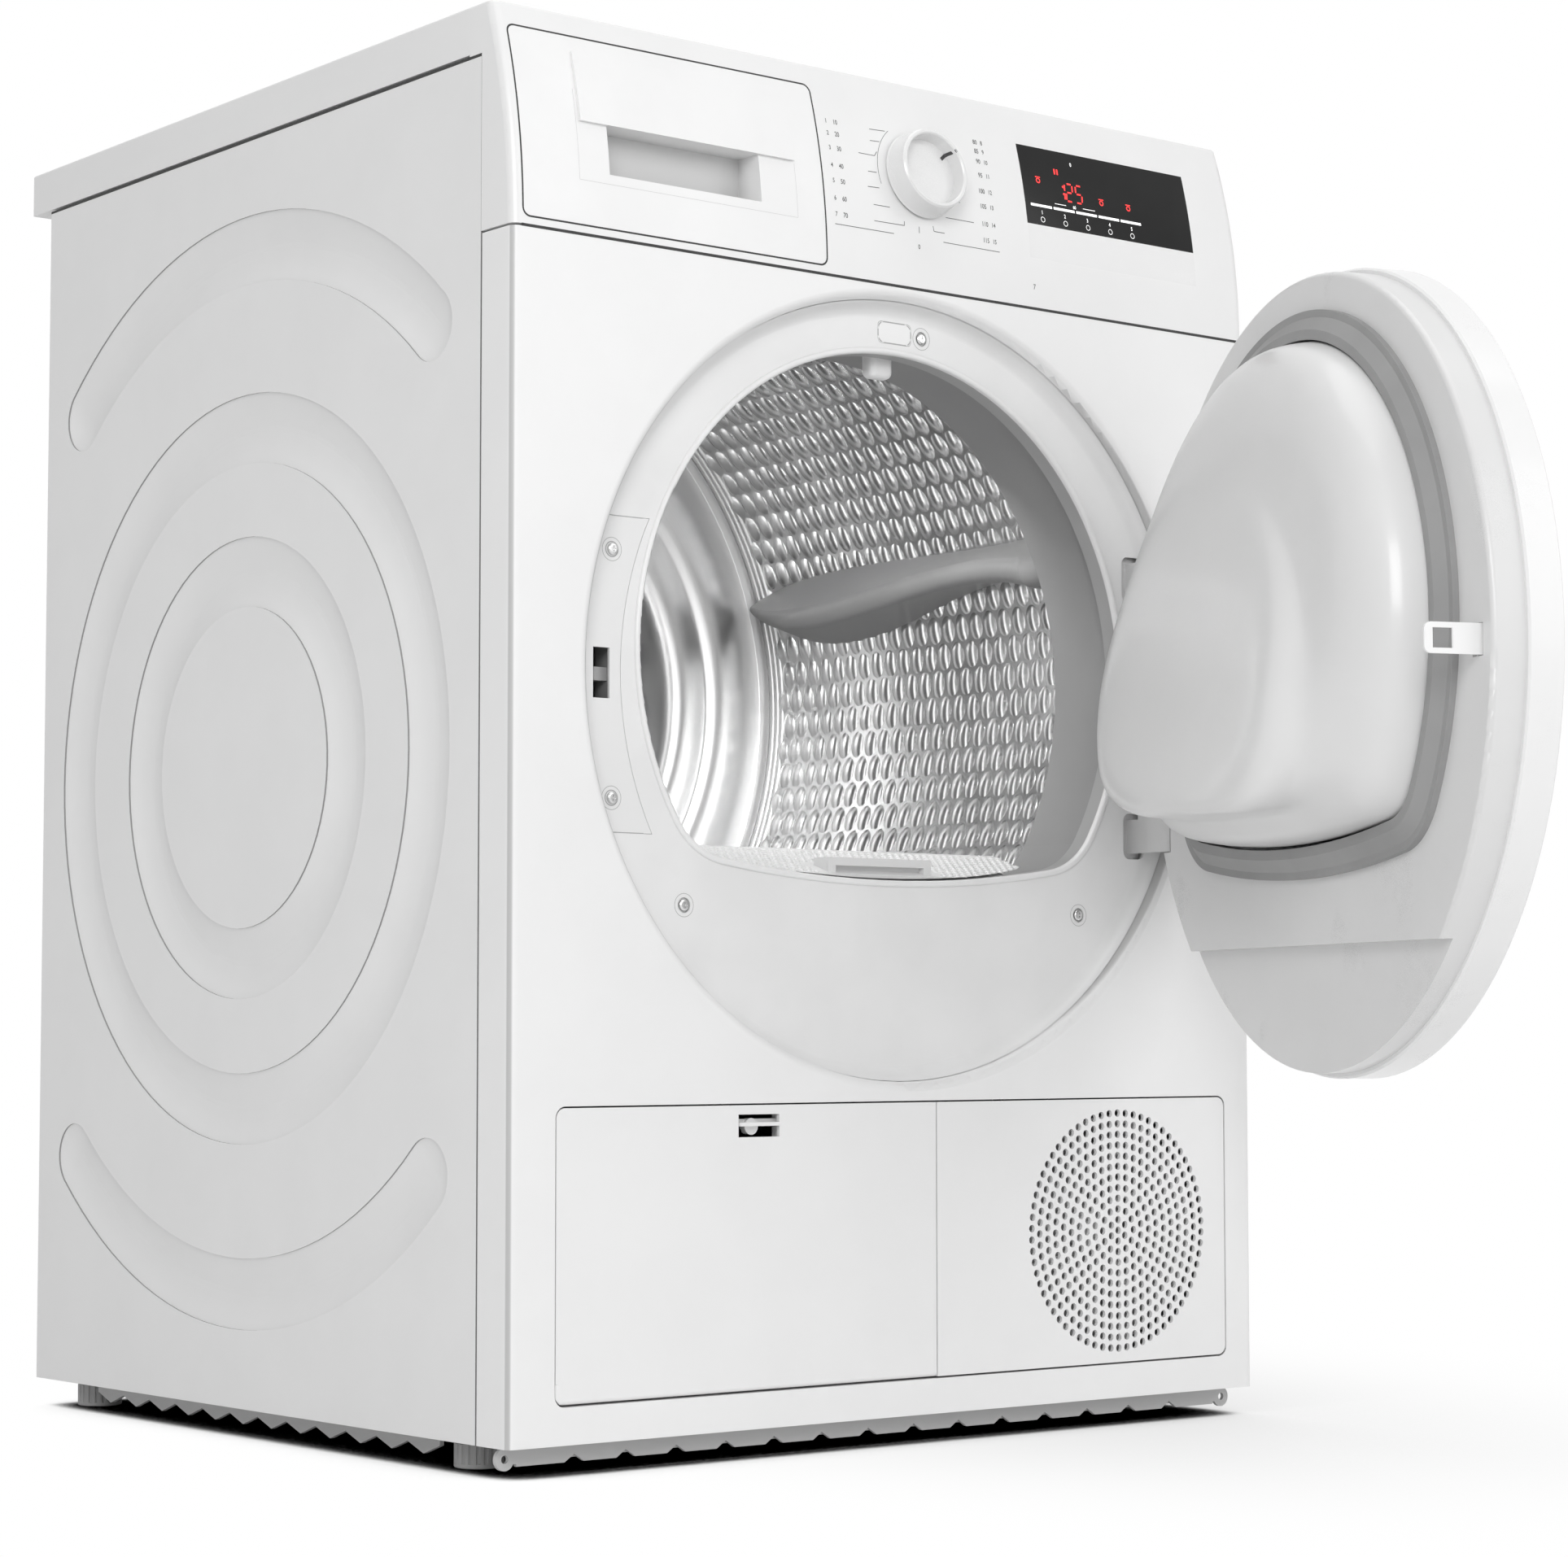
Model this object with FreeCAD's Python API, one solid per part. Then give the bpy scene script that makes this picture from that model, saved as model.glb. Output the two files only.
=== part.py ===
import FreeCAD, Part
import math
import os
from FreeCAD import Vector

# Clothes dryer: a free-standing, front-loading condenser dryer with a round door.
# Modelling frame, in millimetres: x to the right seen from the front, y rearwards from
# the face of the front panel, z up from the floor.  The finished pieces are moved so
# that the origin is the middle of the four feet, on the floor.

# ---------------------------------------------------------------- driving dimensions
width = 598.0                 # cabinet, over the side panels
top_z = 854.5                 # top of the worktop, with the feet screwed out a little
panel_bottom_z = 18.0         # lower edge of the panels
seam_z = 718.0                # joint between front panel and control panel
seam_gap = 1.5                # visible gap at that joint
worktop_thickness = 29.0
worktop_front_y = 45.5
worktop_rear_y = 594.8
side_front_y = 33.0           # side panels run from here ...
side_rear_y = 568.0           # ... to here
side_fold = 12.0              # width of their folded edges
sheet = 1.0                   # painted sheet steel
front_return = 31.5           # depth of the front panel's folded sides
corner_r = 5.0                # folded vertical edges of the front
gap_line = 1.0                # gap round flush doors and flaps
run_gap = 0.3                 # clearance between moving parts and their neighbours
pin_gap = 0.05                # radial clearance of pins and shafts

# pressed rings of the side panels
ring_mid_y = 301.0
ring_mid_z = 420.5
ring_width = 44.5
ring_depth = 7.0
ring_step = 1.2
ring_radii = (124.4, 215.8)   # middle radius of the two full rings
arc_radius = 331.3            # middle radius of the upper and lower arcs
arc_half_angle = 40.7         # from the vertical to the middle of the arc's round end

# recess, opening and door
door_mid_z = 466.0            # centre of the recess and of the door
recess_r = 243.8
recess_roll_r = 6.0
mouth_r = 196.0               # loading opening: a circle with a flattened bottom
mouth_mid_z = 481.5
mouth_floor_z = 347.0
mouth_floor_r = 880.0
mouth_corner_r = 48.0
lip_front_y = 14.0            # white rim round the opening
lip_width = 4.0
bezel_y = 16.0                # face of the plastic bezel
bezel_wall = 2.5
bezel_roll = 9.0              # concave sweep at the bezel's outer edge
throat_clear = 3.0            # throat tube stands this much outside the mouth
throat_wall = 2.0
throat_rear_y = 82.0

door_r = 241.0                # outer ring of the door
door_seam_r = 238.5           # inner frame where it meets the outer ring
door_face_r = 234.5           # flat inner face
door_seam_y = -16.0
door_front_y = -38.0          # front edge of the outer ring
door_dome = 8.0               # rise of the outer panel's dome
door_face_y = 4.0             # flat inner face, door closed
door_wall = 2.5
door_step_z = 304.0           # below this the inner face steps forward
door_step = 7.0
hinge_x = 225.0
hinge_y = -18.0
hinge_arm_dz = 85.0           # arms leave the bezel above and below the door's middle
hinge_pin_dz = 50.0           # pins sit closer to the middle
hinge_height = 22.0
hinge_plate = 3.0
hinge_neck = 17.0             # sideways reach of the goose-neck arm
hinge_pin_r = 3.0
hinge_slot = 1.5              # air over and under the arm
door_open_angle = 68.3        # how far the door stands open as stored
seal_base = 4.0               # seal outside the mouth's outline
seal_width = 18.0
seal_tip_y = 13.4
bowl_wall = 3.0
bowl_draft = ((4.0, 0.7), (26.0, 3.0), (35.0, 5.8), (40.0, 11.0), (42.5, 17.0))
                              # side of the bowl: depth, and how far it has drawn in
bowl_nose_y = 80.0            # depth of the sloping nose at bowl_nose_z ...
bowl_nose_z = 449.0
bowl_nose_fall = 0.20         # ... which gets deeper towards the floor
bowl_nose_lean = 0.054        # ... and towards the hinges
bowl_nose_mid = (10.0, 462.0)                  # its outline: radii round this point,
bowl_nose_radii = (122.0, 123.0, 132.0, 116.0, 97.0, 96.0,
                   113.0, 141.0, 96.0, 80.0, 91.0, 112.0)   # every 30 degrees
strike_x = -224.0
strike_z = 463.7
strike_height = 17.0
strike_length = 34.0
strike_plate = 1.6
strike_hole = 12.0
catch_half_height = 22.0      # guide of the catch bolt
catch_notch_x = -213.5        # the throat's flange is cut away outside this line
insert_screw_dz = 73.5        # screws of the plate beside the latch
filter_half = 118.0           # lint filter: half its width, its depth and its foot
filter_y = (34.0, 66.0)
filter_low_z = 226.0

# control panel
face_arc_r = 409.0            # curved face, tangent to the front panel at the seam
face_wall = 2.5
face_corner_r = 6.0
drawer_x = (-291.5, -65.5)    # condensate drawer's face
drawer_z = (724.0, 839.5)
drawer_corner_r = 5.0
grip_x = (-229.0, -115.0)     # pocket for the fingers
grip_z = (756.5, 786.5)
grip_depth = 26.0
display_x = (105.5, 256.0)
window_z = (774.5, 828.5)
keys_z = (751.5, 774.5)
inlay = 0.8                   # thickness of the flush window and key strip
knob_x = 16.0
knob_z = 792.0
knob_base_r = 28.3
knob_front_r = 26.3
knob_height = 16.0
knob_bowl_r = 23.0
knob_bowl_depth = 9.0
knob_shaft_r = 3.0

# lower aperture with the service flap and the inlet grille
aperture_x = (-267.0, 274.5)
aperture_z = (39.5, 210.5)
aperture_corner_r = 7.0
aperture_flange_r = 3.0       # corners of the flange behind it
divider_x = 21.7
flap_plate = 2.5
flap_depth = 10.0
flap_pin_r = 2.0
flap_pin_y = 4.5
flap_pin_z = 46.0
flap_edge_r = 2.5
latch_slot_x = (-134.0, -103.0)
latch_slot_z = (190.5, 204.0)
fan_x = 176.7                 # axis of motor, fans and grille
fan_z = 125.0
grille_rings = 11
grille_pitch = 6.85
grille_hole_r = 2.4

# drum
drum_z = 499.0
drum_side_gap = 21.0          # from the cabinet's side to the drum's inside
drum_under_gap = 35.0         # from the drum's inside up to the container's top
drum_r = min(width / 2 - drum_side_gap,
             top_z - 42.5 - drum_under_gap - drum_z)   # inside
drum_wall = 1.2
drum_front_y = 94.0
drum_collar_r = drum_r - 6.0
drum_cone_y = 118.0
drum_rear_y = 500.0
back_wall = 1.5
back_ridge_r = drum_r - 66.0
back_ridge_y = 462.0
back_floor_r = drum_r - 75.0
back_floor_y = 518.0
back_hole_r = 9.0
paddle_count = 3
paddle_phase = 16.3           # the right-hand paddle's angle above the horizontal
paddle_y = (122.0, 340.0, 440.0, 484.0)        # its sections, front to rear
paddle_twist = (1.0, -0.6, -1.0, 0.5)          # degrees from the phase at each section
paddle_half_width = (26.0, 28.0, 24.0, 7.0)
paddle_reach = (62.0, 45.0, 30.0, 12.0)
paddle_crest_r = (11.0, 10.0, 8.0, 3.0)        # rounded back of the paddle
shaft_r = 12.0
shaft_end_y = 572.0
felt_thickness = 2.6
shield_r = drum_r - 10.0

# drive
belt_y = (150.0, 158.0)
belt_thickness = 2.5
pulley_r = 11.0
motor_shaft_r = 6.0
motor_can_r = 52.0
motor_y = (215.0, 330.0)
rotor_r = 32.0
cool_fan_r = 66.0
cool_fan_y = (30.0, 68.0)
process_fan_r = 64.0
process_fan_y = (488.0, 528.0)
fan_clear = 4.0
roller_r = 22.0
roller_width = 20.0
roller_angle = 30.0           # from the drum's lowest line
roller_pin_r = 5.0
idler_r = 20.0
idler_width = 12.0
idler_along = 84.0            # distance of the idler from the pulley along the belt
idler_pin_r = 4.0
arm_pivot = (128.0, 62.0)
arm_plate = 4.0

# base
tray_z = 19.0                 # underside of the tray's floor, on the panels' flanges
tray_plate = 3.0
tray_wall_z = 62.0
tray_skirt_z = 5.0
foot_x = width / 2 - 32.0
foot_y = (76.0, 537.0)
foot_r = 14.8
foot_height = 14.0
foot_stem_r = 5.0
foot_stem_z = 46.0
foot_ribs = 20
exchanger_x = (53.0 - width / 2, -4.0)
exchanger_z = (24.0, 172.0)
exchanger_y = (26.0, 430.0)
tunnel_gap = 4.0
tunnel_wall = 3.0
lever_r = 9.0
lever_length = 42.0
lever_plate = 5.0
skirt_y = 19.0
skirt_plate = 2.5
ear_x = width / 2 - 11.0
ear_z = 10.5
ear_r = 6.5
ear_hole_r = 2.4

# condensate container
tank_wall = 2.5
tank_top_z = 812.0
tank_rear_y = 470.0
tank_drum_gap = 14.0          # from the drum's outside to the tank's underside
guide_wall = 2.0
guide_gap = 1.0

# rear
rear_cover_depth = 22.0
rear_cover_r = 205.0
rear_leg_r = 78.0
rear_wall = 2.0
rear_hole_r = 36.0
rear_hole_ring_r = 112.0
rear_hole_count = 6
bearing_r = 24.0
bearing_flange_r = 34.0
pump_r = 24.0
pipe_r = 7.0

# ---------------------------------------------------------------- derived places
half = width / 2
inner_half = half - sheet
worktop_low_z = top_z - worktop_thickness
panel_top_z = worktop_low_z - seam_gap
console_low_z = seam_z + seam_gap / 2
front_top_z = seam_z - seam_gap / 2
rear_in_y = side_rear_y - sheet          # front face of the side panels' rear flange
rear_panel_y = (rear_in_y - sheet, rear_in_y)
foot_mid_y = (foot_y[0] + foot_y[1]) / 2
drum_out_r = drum_r + drum_wall
door_angle = math.radians(door_open_angle)
arm_levels = (door_mid_z - hinge_arm_dz, door_mid_z + hinge_arm_dz)

os.makedirs("parts", exist_ok=True)


# ---------------------------------------------------------------- helpers
def box(x, y, z):
    """Box between two corners, each axis given as a (low, high) pair."""
    size = [pair[1] - pair[0] for pair in (x, y, z)]
    return Part.makeBox(size[0], size[1], size[2], Vector(x[0], y[0], z[0]))


def rod_y(x, z, radius, y):
    return Part.makeCylinder(radius, y[1] - y[0], Vector(x, y[0], z), Vector(0, 1, 0))


def rod_z(x, y, radius, z):
    return Part.makeCylinder(radius, z[1] - z[0], Vector(x, y, z[0]), Vector(0, 0, 1))


def rod_x(y, z, radius, x):
    return Part.makeCylinder(radius, x[1] - x[0], Vector(x[0], y, z), Vector(1, 0, 0))


def fuse(shapes):
    return shapes[0].multiFuse(shapes[1:]).removeSplitter()


def outline(start, *steps):
    """Closed wire: each step is a point, or (middle, end) of an arc."""
    edges = []
    here = start
    for step in steps:
        if isinstance(step, tuple):
            edges.append(Part.Arc(here, step[0], step[1]).toShape())
            here = step[1]
        else:
            edges.append(Part.makeLine(here, step))
            here = step
    if (here - start).Length > 1e-6:
        edges.append(Part.makeLine(here, start))
    return Part.Wire(edges)


def lathe(wire, x, z):
    """Turn a wire drawn in the plane x >= 0, z = 0 about the y axis, then place it."""
    solid = Part.Face(wire).revolve(Vector(0, 0, 0), Vector(0, 1, 0), 360)
    solid.translate(Vector(x, 0, z))
    return solid


def ring_y(x, z, outer, inner, y):
    return rod_y(x, z, outer, y).cut(rod_y(x, z, inner, (y[0] - 1, y[1] + 1)))


def polygon_prism(points, y):
    """Prism along y over a polygon of (x, z) points."""
    wire = Part.makePolygon([Vector(px, y[0], pz) for px, pz in points + points[:1]])
    return Part.Face(wire).extrude(Vector(0, y[1] - y[0], 0))


def rounded_slab(x, z, radius, y):
    """Rectangle in x and z with rounded corners, extruded along y."""
    slab = box(x, y, z)
    edges = [e for e in slab.Edges if abs(e.tangentAt(0).y) > 0.9]
    return slab.makeFillet(radius, edges)


def vertical_edges(solid, x_side, y_side):
    """Vertical edges on the given side: x_side and y_side are coordinates or None."""
    found = []
    for edge in solid.Edges:
        middle = edge.CenterOfMass
        upright = abs(edge.tangentAt(edge.FirstParameter).z) > 0.9
        on_x = x_side is None or abs(abs(middle.x) - x_side) < 1e-3
        on_y = y_side is None or abs(middle.y - y_side) < 1e-3
        if upright and on_x and on_y:
            found.append(edge)
    return found


def mirrored(solid):
    return solid.mirror(Vector(0, 0, 0), Vector(1, 0, 0))


def mouth_wire(offset, y):
    """Outline of the loading opening, moved outwards by offset: a large circle whose
    bottom is cut by a flat arc, with tangent corner arcs."""
    big_r = mouth_r + offset
    floor_mid_z = mouth_floor_z + mouth_floor_r
    floor_r = mouth_floor_r + offset
    corner_r_here = mouth_corner_r + offset
    reach_big = mouth_r - mouth_corner_r
    reach_floor = mouth_floor_r - mouth_corner_r
    rise = floor_mid_z - mouth_mid_z
    along = (reach_big ** 2 - reach_floor ** 2 + rise ** 2) / (2 * rise)
    corner_z = mouth_mid_z + along
    corner_x = math.sqrt(reach_big ** 2 - along ** 2)

    def on_circle(mid_z, radius, towards_x, towards_z):
        length = math.hypot(towards_x, towards_z - mid_z)
        return (radius * towards_x / length, mid_z + radius * (towards_z - mid_z) / length)

    side_x, side_z = on_circle(mouth_mid_z, big_r, corner_x, corner_z)
    base_x, base_z = on_circle(floor_mid_z, floor_r, corner_x, corner_z)
    mid_dx = (side_x - corner_x) + (base_x - corner_x)
    mid_dz = (side_z - corner_z) + (base_z - corner_z)
    scale = corner_r_here / math.hypot(mid_dx, mid_dz)
    knee_x = corner_x + mid_dx * scale
    knee_z = corner_z + mid_dz * scale
    return outline(
        Vector(side_x, y, side_z),
        (Vector(0, y, mouth_mid_z + big_r), Vector(-side_x, y, side_z)),
        (Vector(-knee_x, y, knee_z), Vector(-base_x, y, base_z)),
        (Vector(0, y, floor_mid_z - floor_r), Vector(base_x, y, base_z)),
        (Vector(knee_x, y, knee_z), Vector(side_x, y, side_z)))


def mouth_plug(offset, y):
    return Part.Face(mouth_wire(offset, y[0])).extrude(Vector(0, y[1] - y[0], 0))


def mouth_tube(inner, outer, y):
    return mouth_plug(outer, y).cut(mouth_plug(inner, (y[0] - 1, y[1] + 1)))


def open_door(solid):
    """Swing a door piece from closed to the stored pose."""
    solid.rotate(Vector(hinge_x, hinge_y, 0), Vector(0, 0, 1), door_open_angle)
    return solid


def save(node, shape):
    shape = shape.copy()
    shape.translate(Vector(0, -foot_mid_y, 0))
    if not shape.isValid():
        print("not valid:", node)
    shape.exportStep("parts/" + node + ".step")
    print("%-24s %2d solids %10.0f mm3" % (node, len(shape.Solids), shape.Volume))


# ---------------------------------------------------------------- cabinet
def make_side_panel():
    """Right-hand panel: flat sheet with pressed-in rings and folded edges."""
    sheet_plate = box((half - sheet, half), (side_front_y, side_rear_y),
                      (panel_bottom_z, panel_top_z))
    fold = side_fold
    folds = [
        box((half - fold, half), (side_front_y, side_front_y + sheet),
            (panel_bottom_z, panel_top_z)),
        box((half - fold, half), (side_rear_y - sheet, side_rear_y),
            (panel_bottom_z, panel_top_z)),
        box((half - fold, half), (side_front_y, side_rear_y),
            (panel_bottom_z, panel_bottom_z + sheet)),
        box((half - fold, half), (side_front_y, side_rear_y),
            (panel_top_z - sheet, panel_top_z))]
    plate = fuse([sheet_plate] + folds)
    groove, bulge = pressed_grooves(0.0, 2.0), pressed_grooves(sheet, 0.0)
    plate = plate.fuse(bulge)
    return plate.cut(groove).removeSplitter()


def groove_profile(middle, extra, above):
    """Section of a groove: a shallow dish below a small step.  The first coordinate
    is the distance from the ring's centre, y is depth into the cabinet."""
    side = ring_width / 2 + extra
    low = ring_step + extra
    dish = ring_depth - ring_step
    dish_r = (side ** 2 + dish ** 2) / (2 * dish)
    flat = 1.5

    def depth(across):
        return low + dish - dish_r + math.sqrt(dish_r ** 2 - across ** 2)

    def at(across, y):
        return Vector(middle + across, y, 0)

    quarter = side / 2
    return outline(at(-side, -above), at(-side, low),
                   (at(-quarter, depth(quarter)), at(-flat, depth(flat))),
                   at(flat, depth(flat)),
                   (at(quarter, depth(quarter)), at(side, low)), at(side, -above))


def pressed_grooves(extra, above):
    solids = []
    for radius in ring_radii:
        solids.append(Part.Face(groove_profile(radius, extra, above)).revolve(
            Vector(0, 0, 0), Vector(0, 1, 0), 360))
    arc = Part.Face(groove_profile(arc_radius, extra, above)).revolve(
        Vector(0, 0, 0), Vector(0, 1, 0), 2 * arc_half_angle)
    end_face = Part.Face(groove_profile(0, extra, above)).common(
        box((0, ring_width * 2), (-above - 1, ring_depth + 5), (-1, 1)))
    end = end_face.Faces[0].revolve(Vector(0, 0, 0), Vector(0, 1, 0), 180)
    first, last = end.copy(), end.copy()
    first.rotate(Vector(0, 0, 0), Vector(0, 1, 0), 180)
    first.translate(Vector(arc_radius, 0, 0))
    last.translate(Vector(arc_radius, 0, 0))
    last.rotate(Vector(0, 0, 0), Vector(0, 1, 0), 2 * arc_half_angle)
    arc_solids = [arc, first, last]
    arc = fuse(arc_solids)
    for middle_angle in (90.0, 270.0):
        one = arc.copy()
        one.rotate(Vector(0, 0, 0), Vector(0, 1, 0), middle_angle - arc_half_angle)
        solids.append(one)
    grooves = solids[0].multiFuse(solids[1:])
    grooves.rotate(Vector(0, 0, 0), Vector(0, 0, 1), 90)
    grooves.translate(Vector(half, ring_mid_y, ring_mid_z))
    return grooves


def make_front_panel():
    z = (panel_bottom_z, front_top_z)
    shell = box((-half, half), (0, front_return), z)
    shell = shell.makeFillet(corner_r, vertical_edges(shell, half, 0))
    hollow = box((-inner_half, inner_half), (sheet, front_return + 1),
                 (z[0] + sheet, z[1] - sheet))
    hollow = hollow.makeFillet(corner_r - sheet, vertical_edges(hollow, inner_half, sheet))
    shell = shell.cut(hollow)
    roll_mid = recess_r + recess_roll_r
    shell = shell.cut(rod_y(0, door_mid_z, roll_mid, (-1, sheet + 1)))
    half_root = math.sqrt(0.5)
    inside_roll = recess_roll_r - sheet
    roll = outline(
        Vector(roll_mid, 0, 0),
        (Vector(roll_mid - recess_roll_r * half_root, recess_roll_r * (1 - half_root), 0),
         Vector(recess_r, recess_roll_r, 0)),
        Vector(recess_r, bezel_y + bezel_wall, 0),
        Vector(recess_r + sheet, bezel_y + bezel_wall, 0),
        Vector(recess_r + sheet, recess_roll_r, 0),
        (Vector(roll_mid - inside_roll * half_root,
                recess_roll_r - inside_roll * half_root, 0),
         Vector(roll_mid, sheet, 0)))
    shell = shell.cut(rounded_slab(aperture_x, aperture_z, aperture_corner_r, (-1, 2)))
    base_slot = foot_x - 18
    shell = shell.cut(box((-base_slot, base_slot), (skirt_y - 2, front_return + 1),
                          (z[0] - 1, z[0] + sheet + 0.3)))
    frame_x = (aperture_x[0] - sheet, aperture_x[1] + sheet)
    frame_z = (aperture_z[0] - sheet, aperture_z[1] + sheet)
    frame = rounded_slab(frame_x, frame_z, aperture_flange_r + sheet, (sheet / 2, flap_depth))
    frame = frame.cut(rounded_slab(aperture_x, aperture_z, aperture_flange_r,
                                   (-1, flap_depth + 1)))
    frame = frame.cut(rod_x(flap_pin_y, flap_pin_z, flap_pin_r + pin_gap,
                            (frame_x[0] - 1, aperture_x[0] + 1)))
    return fuse([shell, lathe(roll, 0, door_mid_z), frame])


def make_worktop():
    slab = box((-half, half), (worktop_front_y, worktop_rear_y), (worktop_low_z, top_z))
    slab = slab.makeFillet(2.0, [e for e in slab.Edges if e.CenterOfMass.z > top_z - 1
                                 and e.CenterOfMass.y > worktop_front_y + 1])
    runner = box((half - 28, half - 14), (worktop_front_y + 10, side_rear_y - 20),
                 (panel_top_z, worktop_low_z))
    return fuse([slab, runner, mirrored(runner)])


def make_rear_panel():
    plate = box((-inner_half + 0.2, inner_half - 0.2), rear_panel_y,
                (panel_bottom_z + sheet + tray_plate, panel_top_z - sheet))
    holes = [rod_y(0, drum_z, bearing_r, (rear_panel_y[0] - 1, rear_panel_y[1] + 1))]
    for i in range(rear_hole_count):
        turn = 2 * math.pi * i / rear_hole_count
        holes.append(rod_y(rear_hole_ring_r * math.cos(turn),
                           drum_z + rear_hole_ring_r * math.sin(turn), rear_hole_r,
                           (rear_panel_y[0] - 1, rear_panel_y[1] + 1)))
    holes.append(rod_y(fan_x, fan_z, process_fan_r - 10,
                       (rear_panel_y[0] - 1, rear_panel_y[1] + 1)))
    seat_r = back_floor_r - 6
    rim = ring_y(0, drum_z, seat_r, seat_r - sheet, (back_floor_y + 28, rear_panel_y[0]))
    slots = []
    for row in range(8):
        z = 60 + row * 9
        slots.append(box((-240, -150), (rear_panel_y[0] - 1, rear_panel_y[1] + 1),
                         (z, z + 4)))
    inlet = box((-200, -166), (rear_panel_y[0] - 1, rear_panel_y[1] + 1), (770, 796))
    return plate.multiFuse([rim]).cut(fuse_loose(holes + slots + [inlet])).removeSplitter()


def fuse_loose(shapes):
    return Part.makeCompound(shapes)


def leg_outline(big_r, small_r, y):
    """Closed outline round the drum's rear circle and the fan, joined by tangents."""
    dx, dz = fan_x, fan_z - drum_z
    length = math.hypot(dx, dz)
    heading = math.atan2(dz, dx)
    lean = math.acos((big_r - small_r) / length)
    ends = []
    for side in (1, -1):
        turn = heading + side * lean
        ends.append(((big_r * math.cos(turn), drum_z + big_r * math.sin(turn)),
                     (fan_x + small_r * math.cos(turn), fan_z + small_r * math.sin(turn))))
    far_turn = heading + math.pi
    near_turn = heading
    return outline(
        Vector(ends[0][0][0], y, ends[0][0][1]),
        (Vector(big_r * math.cos(far_turn), y, drum_z + big_r * math.sin(far_turn)),
         Vector(ends[1][0][0], y, ends[1][0][1])),
        Vector(ends[1][1][0], y, ends[1][1][1]),
        (Vector(fan_x + small_r * math.cos(near_turn), y,
                fan_z + small_r * math.sin(near_turn)),
         Vector(ends[0][1][0], y, ends[0][1][1])),
        Vector(ends[0][0][0], y, ends[0][0][1]))


def make_rear_duct_cover():
    y = (side_rear_y, side_rear_y + rear_cover_depth)
    outer = Part.Face(leg_outline(rear_cover_r, rear_leg_r, rear_panel_y[1])).extrude(
        Vector(0, y[1] - rear_panel_y[1], 0))
    inner = Part.Face(leg_outline(rear_cover_r - rear_wall, rear_leg_r - rear_wall,
                                  rear_panel_y[1] - 1)).extrude(
        Vector(0, y[1] - rear_wall - rear_panel_y[1] + 1, 0))
    cover = outer.cut(inner)
    rim_edges = [e for e in outer.Edges if abs(e.CenterOfMass.y - y[1]) < 1e-3]
    softened = outer.makeFillet(3.0, rim_edges)
    return cover.common(softened)


# ---------------------------------------------------------------- control panel
def face_y(z):
    """Depth of the control panel's curved face at height z."""
    return face_arc_r - math.sqrt(face_arc_r ** 2 - (z - console_low_z) ** 2)


def face_prism(shift, x, rear_y, low_z=console_low_z, high_z=top_z):
    """Solid behind the curved face, moved rearwards by shift."""
    middle_z = (low_z + high_z) / 2
    wire = outline(
        Vector(x[0], face_y(low_z) + shift, low_z),
        (Vector(x[0], face_y(middle_z) + shift, middle_z),
         Vector(x[0], face_y(high_z) + shift, high_z)),
        Vector(x[0], rear_y, high_z), Vector(x[0], rear_y, low_z))
    return Part.Face(wire).extrude(Vector(x[1] - x[0], 0, 0))


def face_layer(depth, x, z):
    """Layer of the curved face from its surface to a depth, over a rectangle."""
    rear = face_y(z[1]) + 60
    return face_prism(depth[0], x, rear, z[0], z[1]).cut(
        face_prism(depth[1], (x[0] - 1, x[1] + 1), rear + 1, z[0], z[1]))


def round_corners(solid, radius):
    """Round the corners of a face layer, seen from the front."""
    limits = solid.BoundBox
    return solid.common(rounded_slab((limits.XMin, limits.XMax), (limits.ZMin, limits.ZMax),
                                     radius, (limits.YMin - 1, limits.YMax + 1)))


def make_control_panel():
    outer = face_prism(0, (-half, half), worktop_front_y)
    corners = [e for e in outer.Edges
               if abs(abs(e.CenterOfMass.x) - half) < 1e-3
               and e.CenterOfMass.y < face_y(top_z) and e.Length > 50]
    outer = outer.makeFillet(face_corner_r, corners)
    upper = [e for e in outer.Edges
             if abs(e.CenterOfMass.z - top_z) < 1e-3 and e.CenterOfMass.y < worktop_front_y - 1]
    outer = outer.makeFillet(2.0, [e for e in upper if e.Length > width / 2])
    hollow = face_prism(face_wall, (-half + face_wall, half - face_wall),
                        worktop_front_y + 1, console_low_z + face_wall, top_z - face_wall)
    panel = outer.cut(hollow)
    for side in (-1, 1):
        beside_x = sorted((side * (half - side_fold - 0.5), side * (half + 1)))
        panel = panel.cut(box(beside_x, (side_front_y - run_gap, worktop_front_y + 1),
                              (console_low_z - 1, panel_top_z + run_gap)))
    open_x = (drawer_x[0] - gap_line, drawer_x[1] + gap_line)
    open_z = (drawer_z[0] - gap_line, drawer_z[1] + gap_line)
    panel = panel.cut(rounded_slab(open_x, open_z, drawer_corner_r + gap_line, (-1, 60)))
    for z in (window_z, keys_z):
        panel = panel.cut(face_layer((-1, inlay), display_x, z))
    direction, base = knob_axis()
    bore = Part.makeCylinder(knob_shaft_r + 0.5, 20, base - direction * 12, direction)
    return panel.cut(bore)


def knob_axis():
    """Outward direction of the knob's axis and its foot on the curved face."""
    lean = math.asin((knob_z - console_low_z) / face_arc_r)
    return Vector(0, -math.cos(lean), math.sin(lean)), Vector(knob_x, face_y(knob_z), knob_z)


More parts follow.
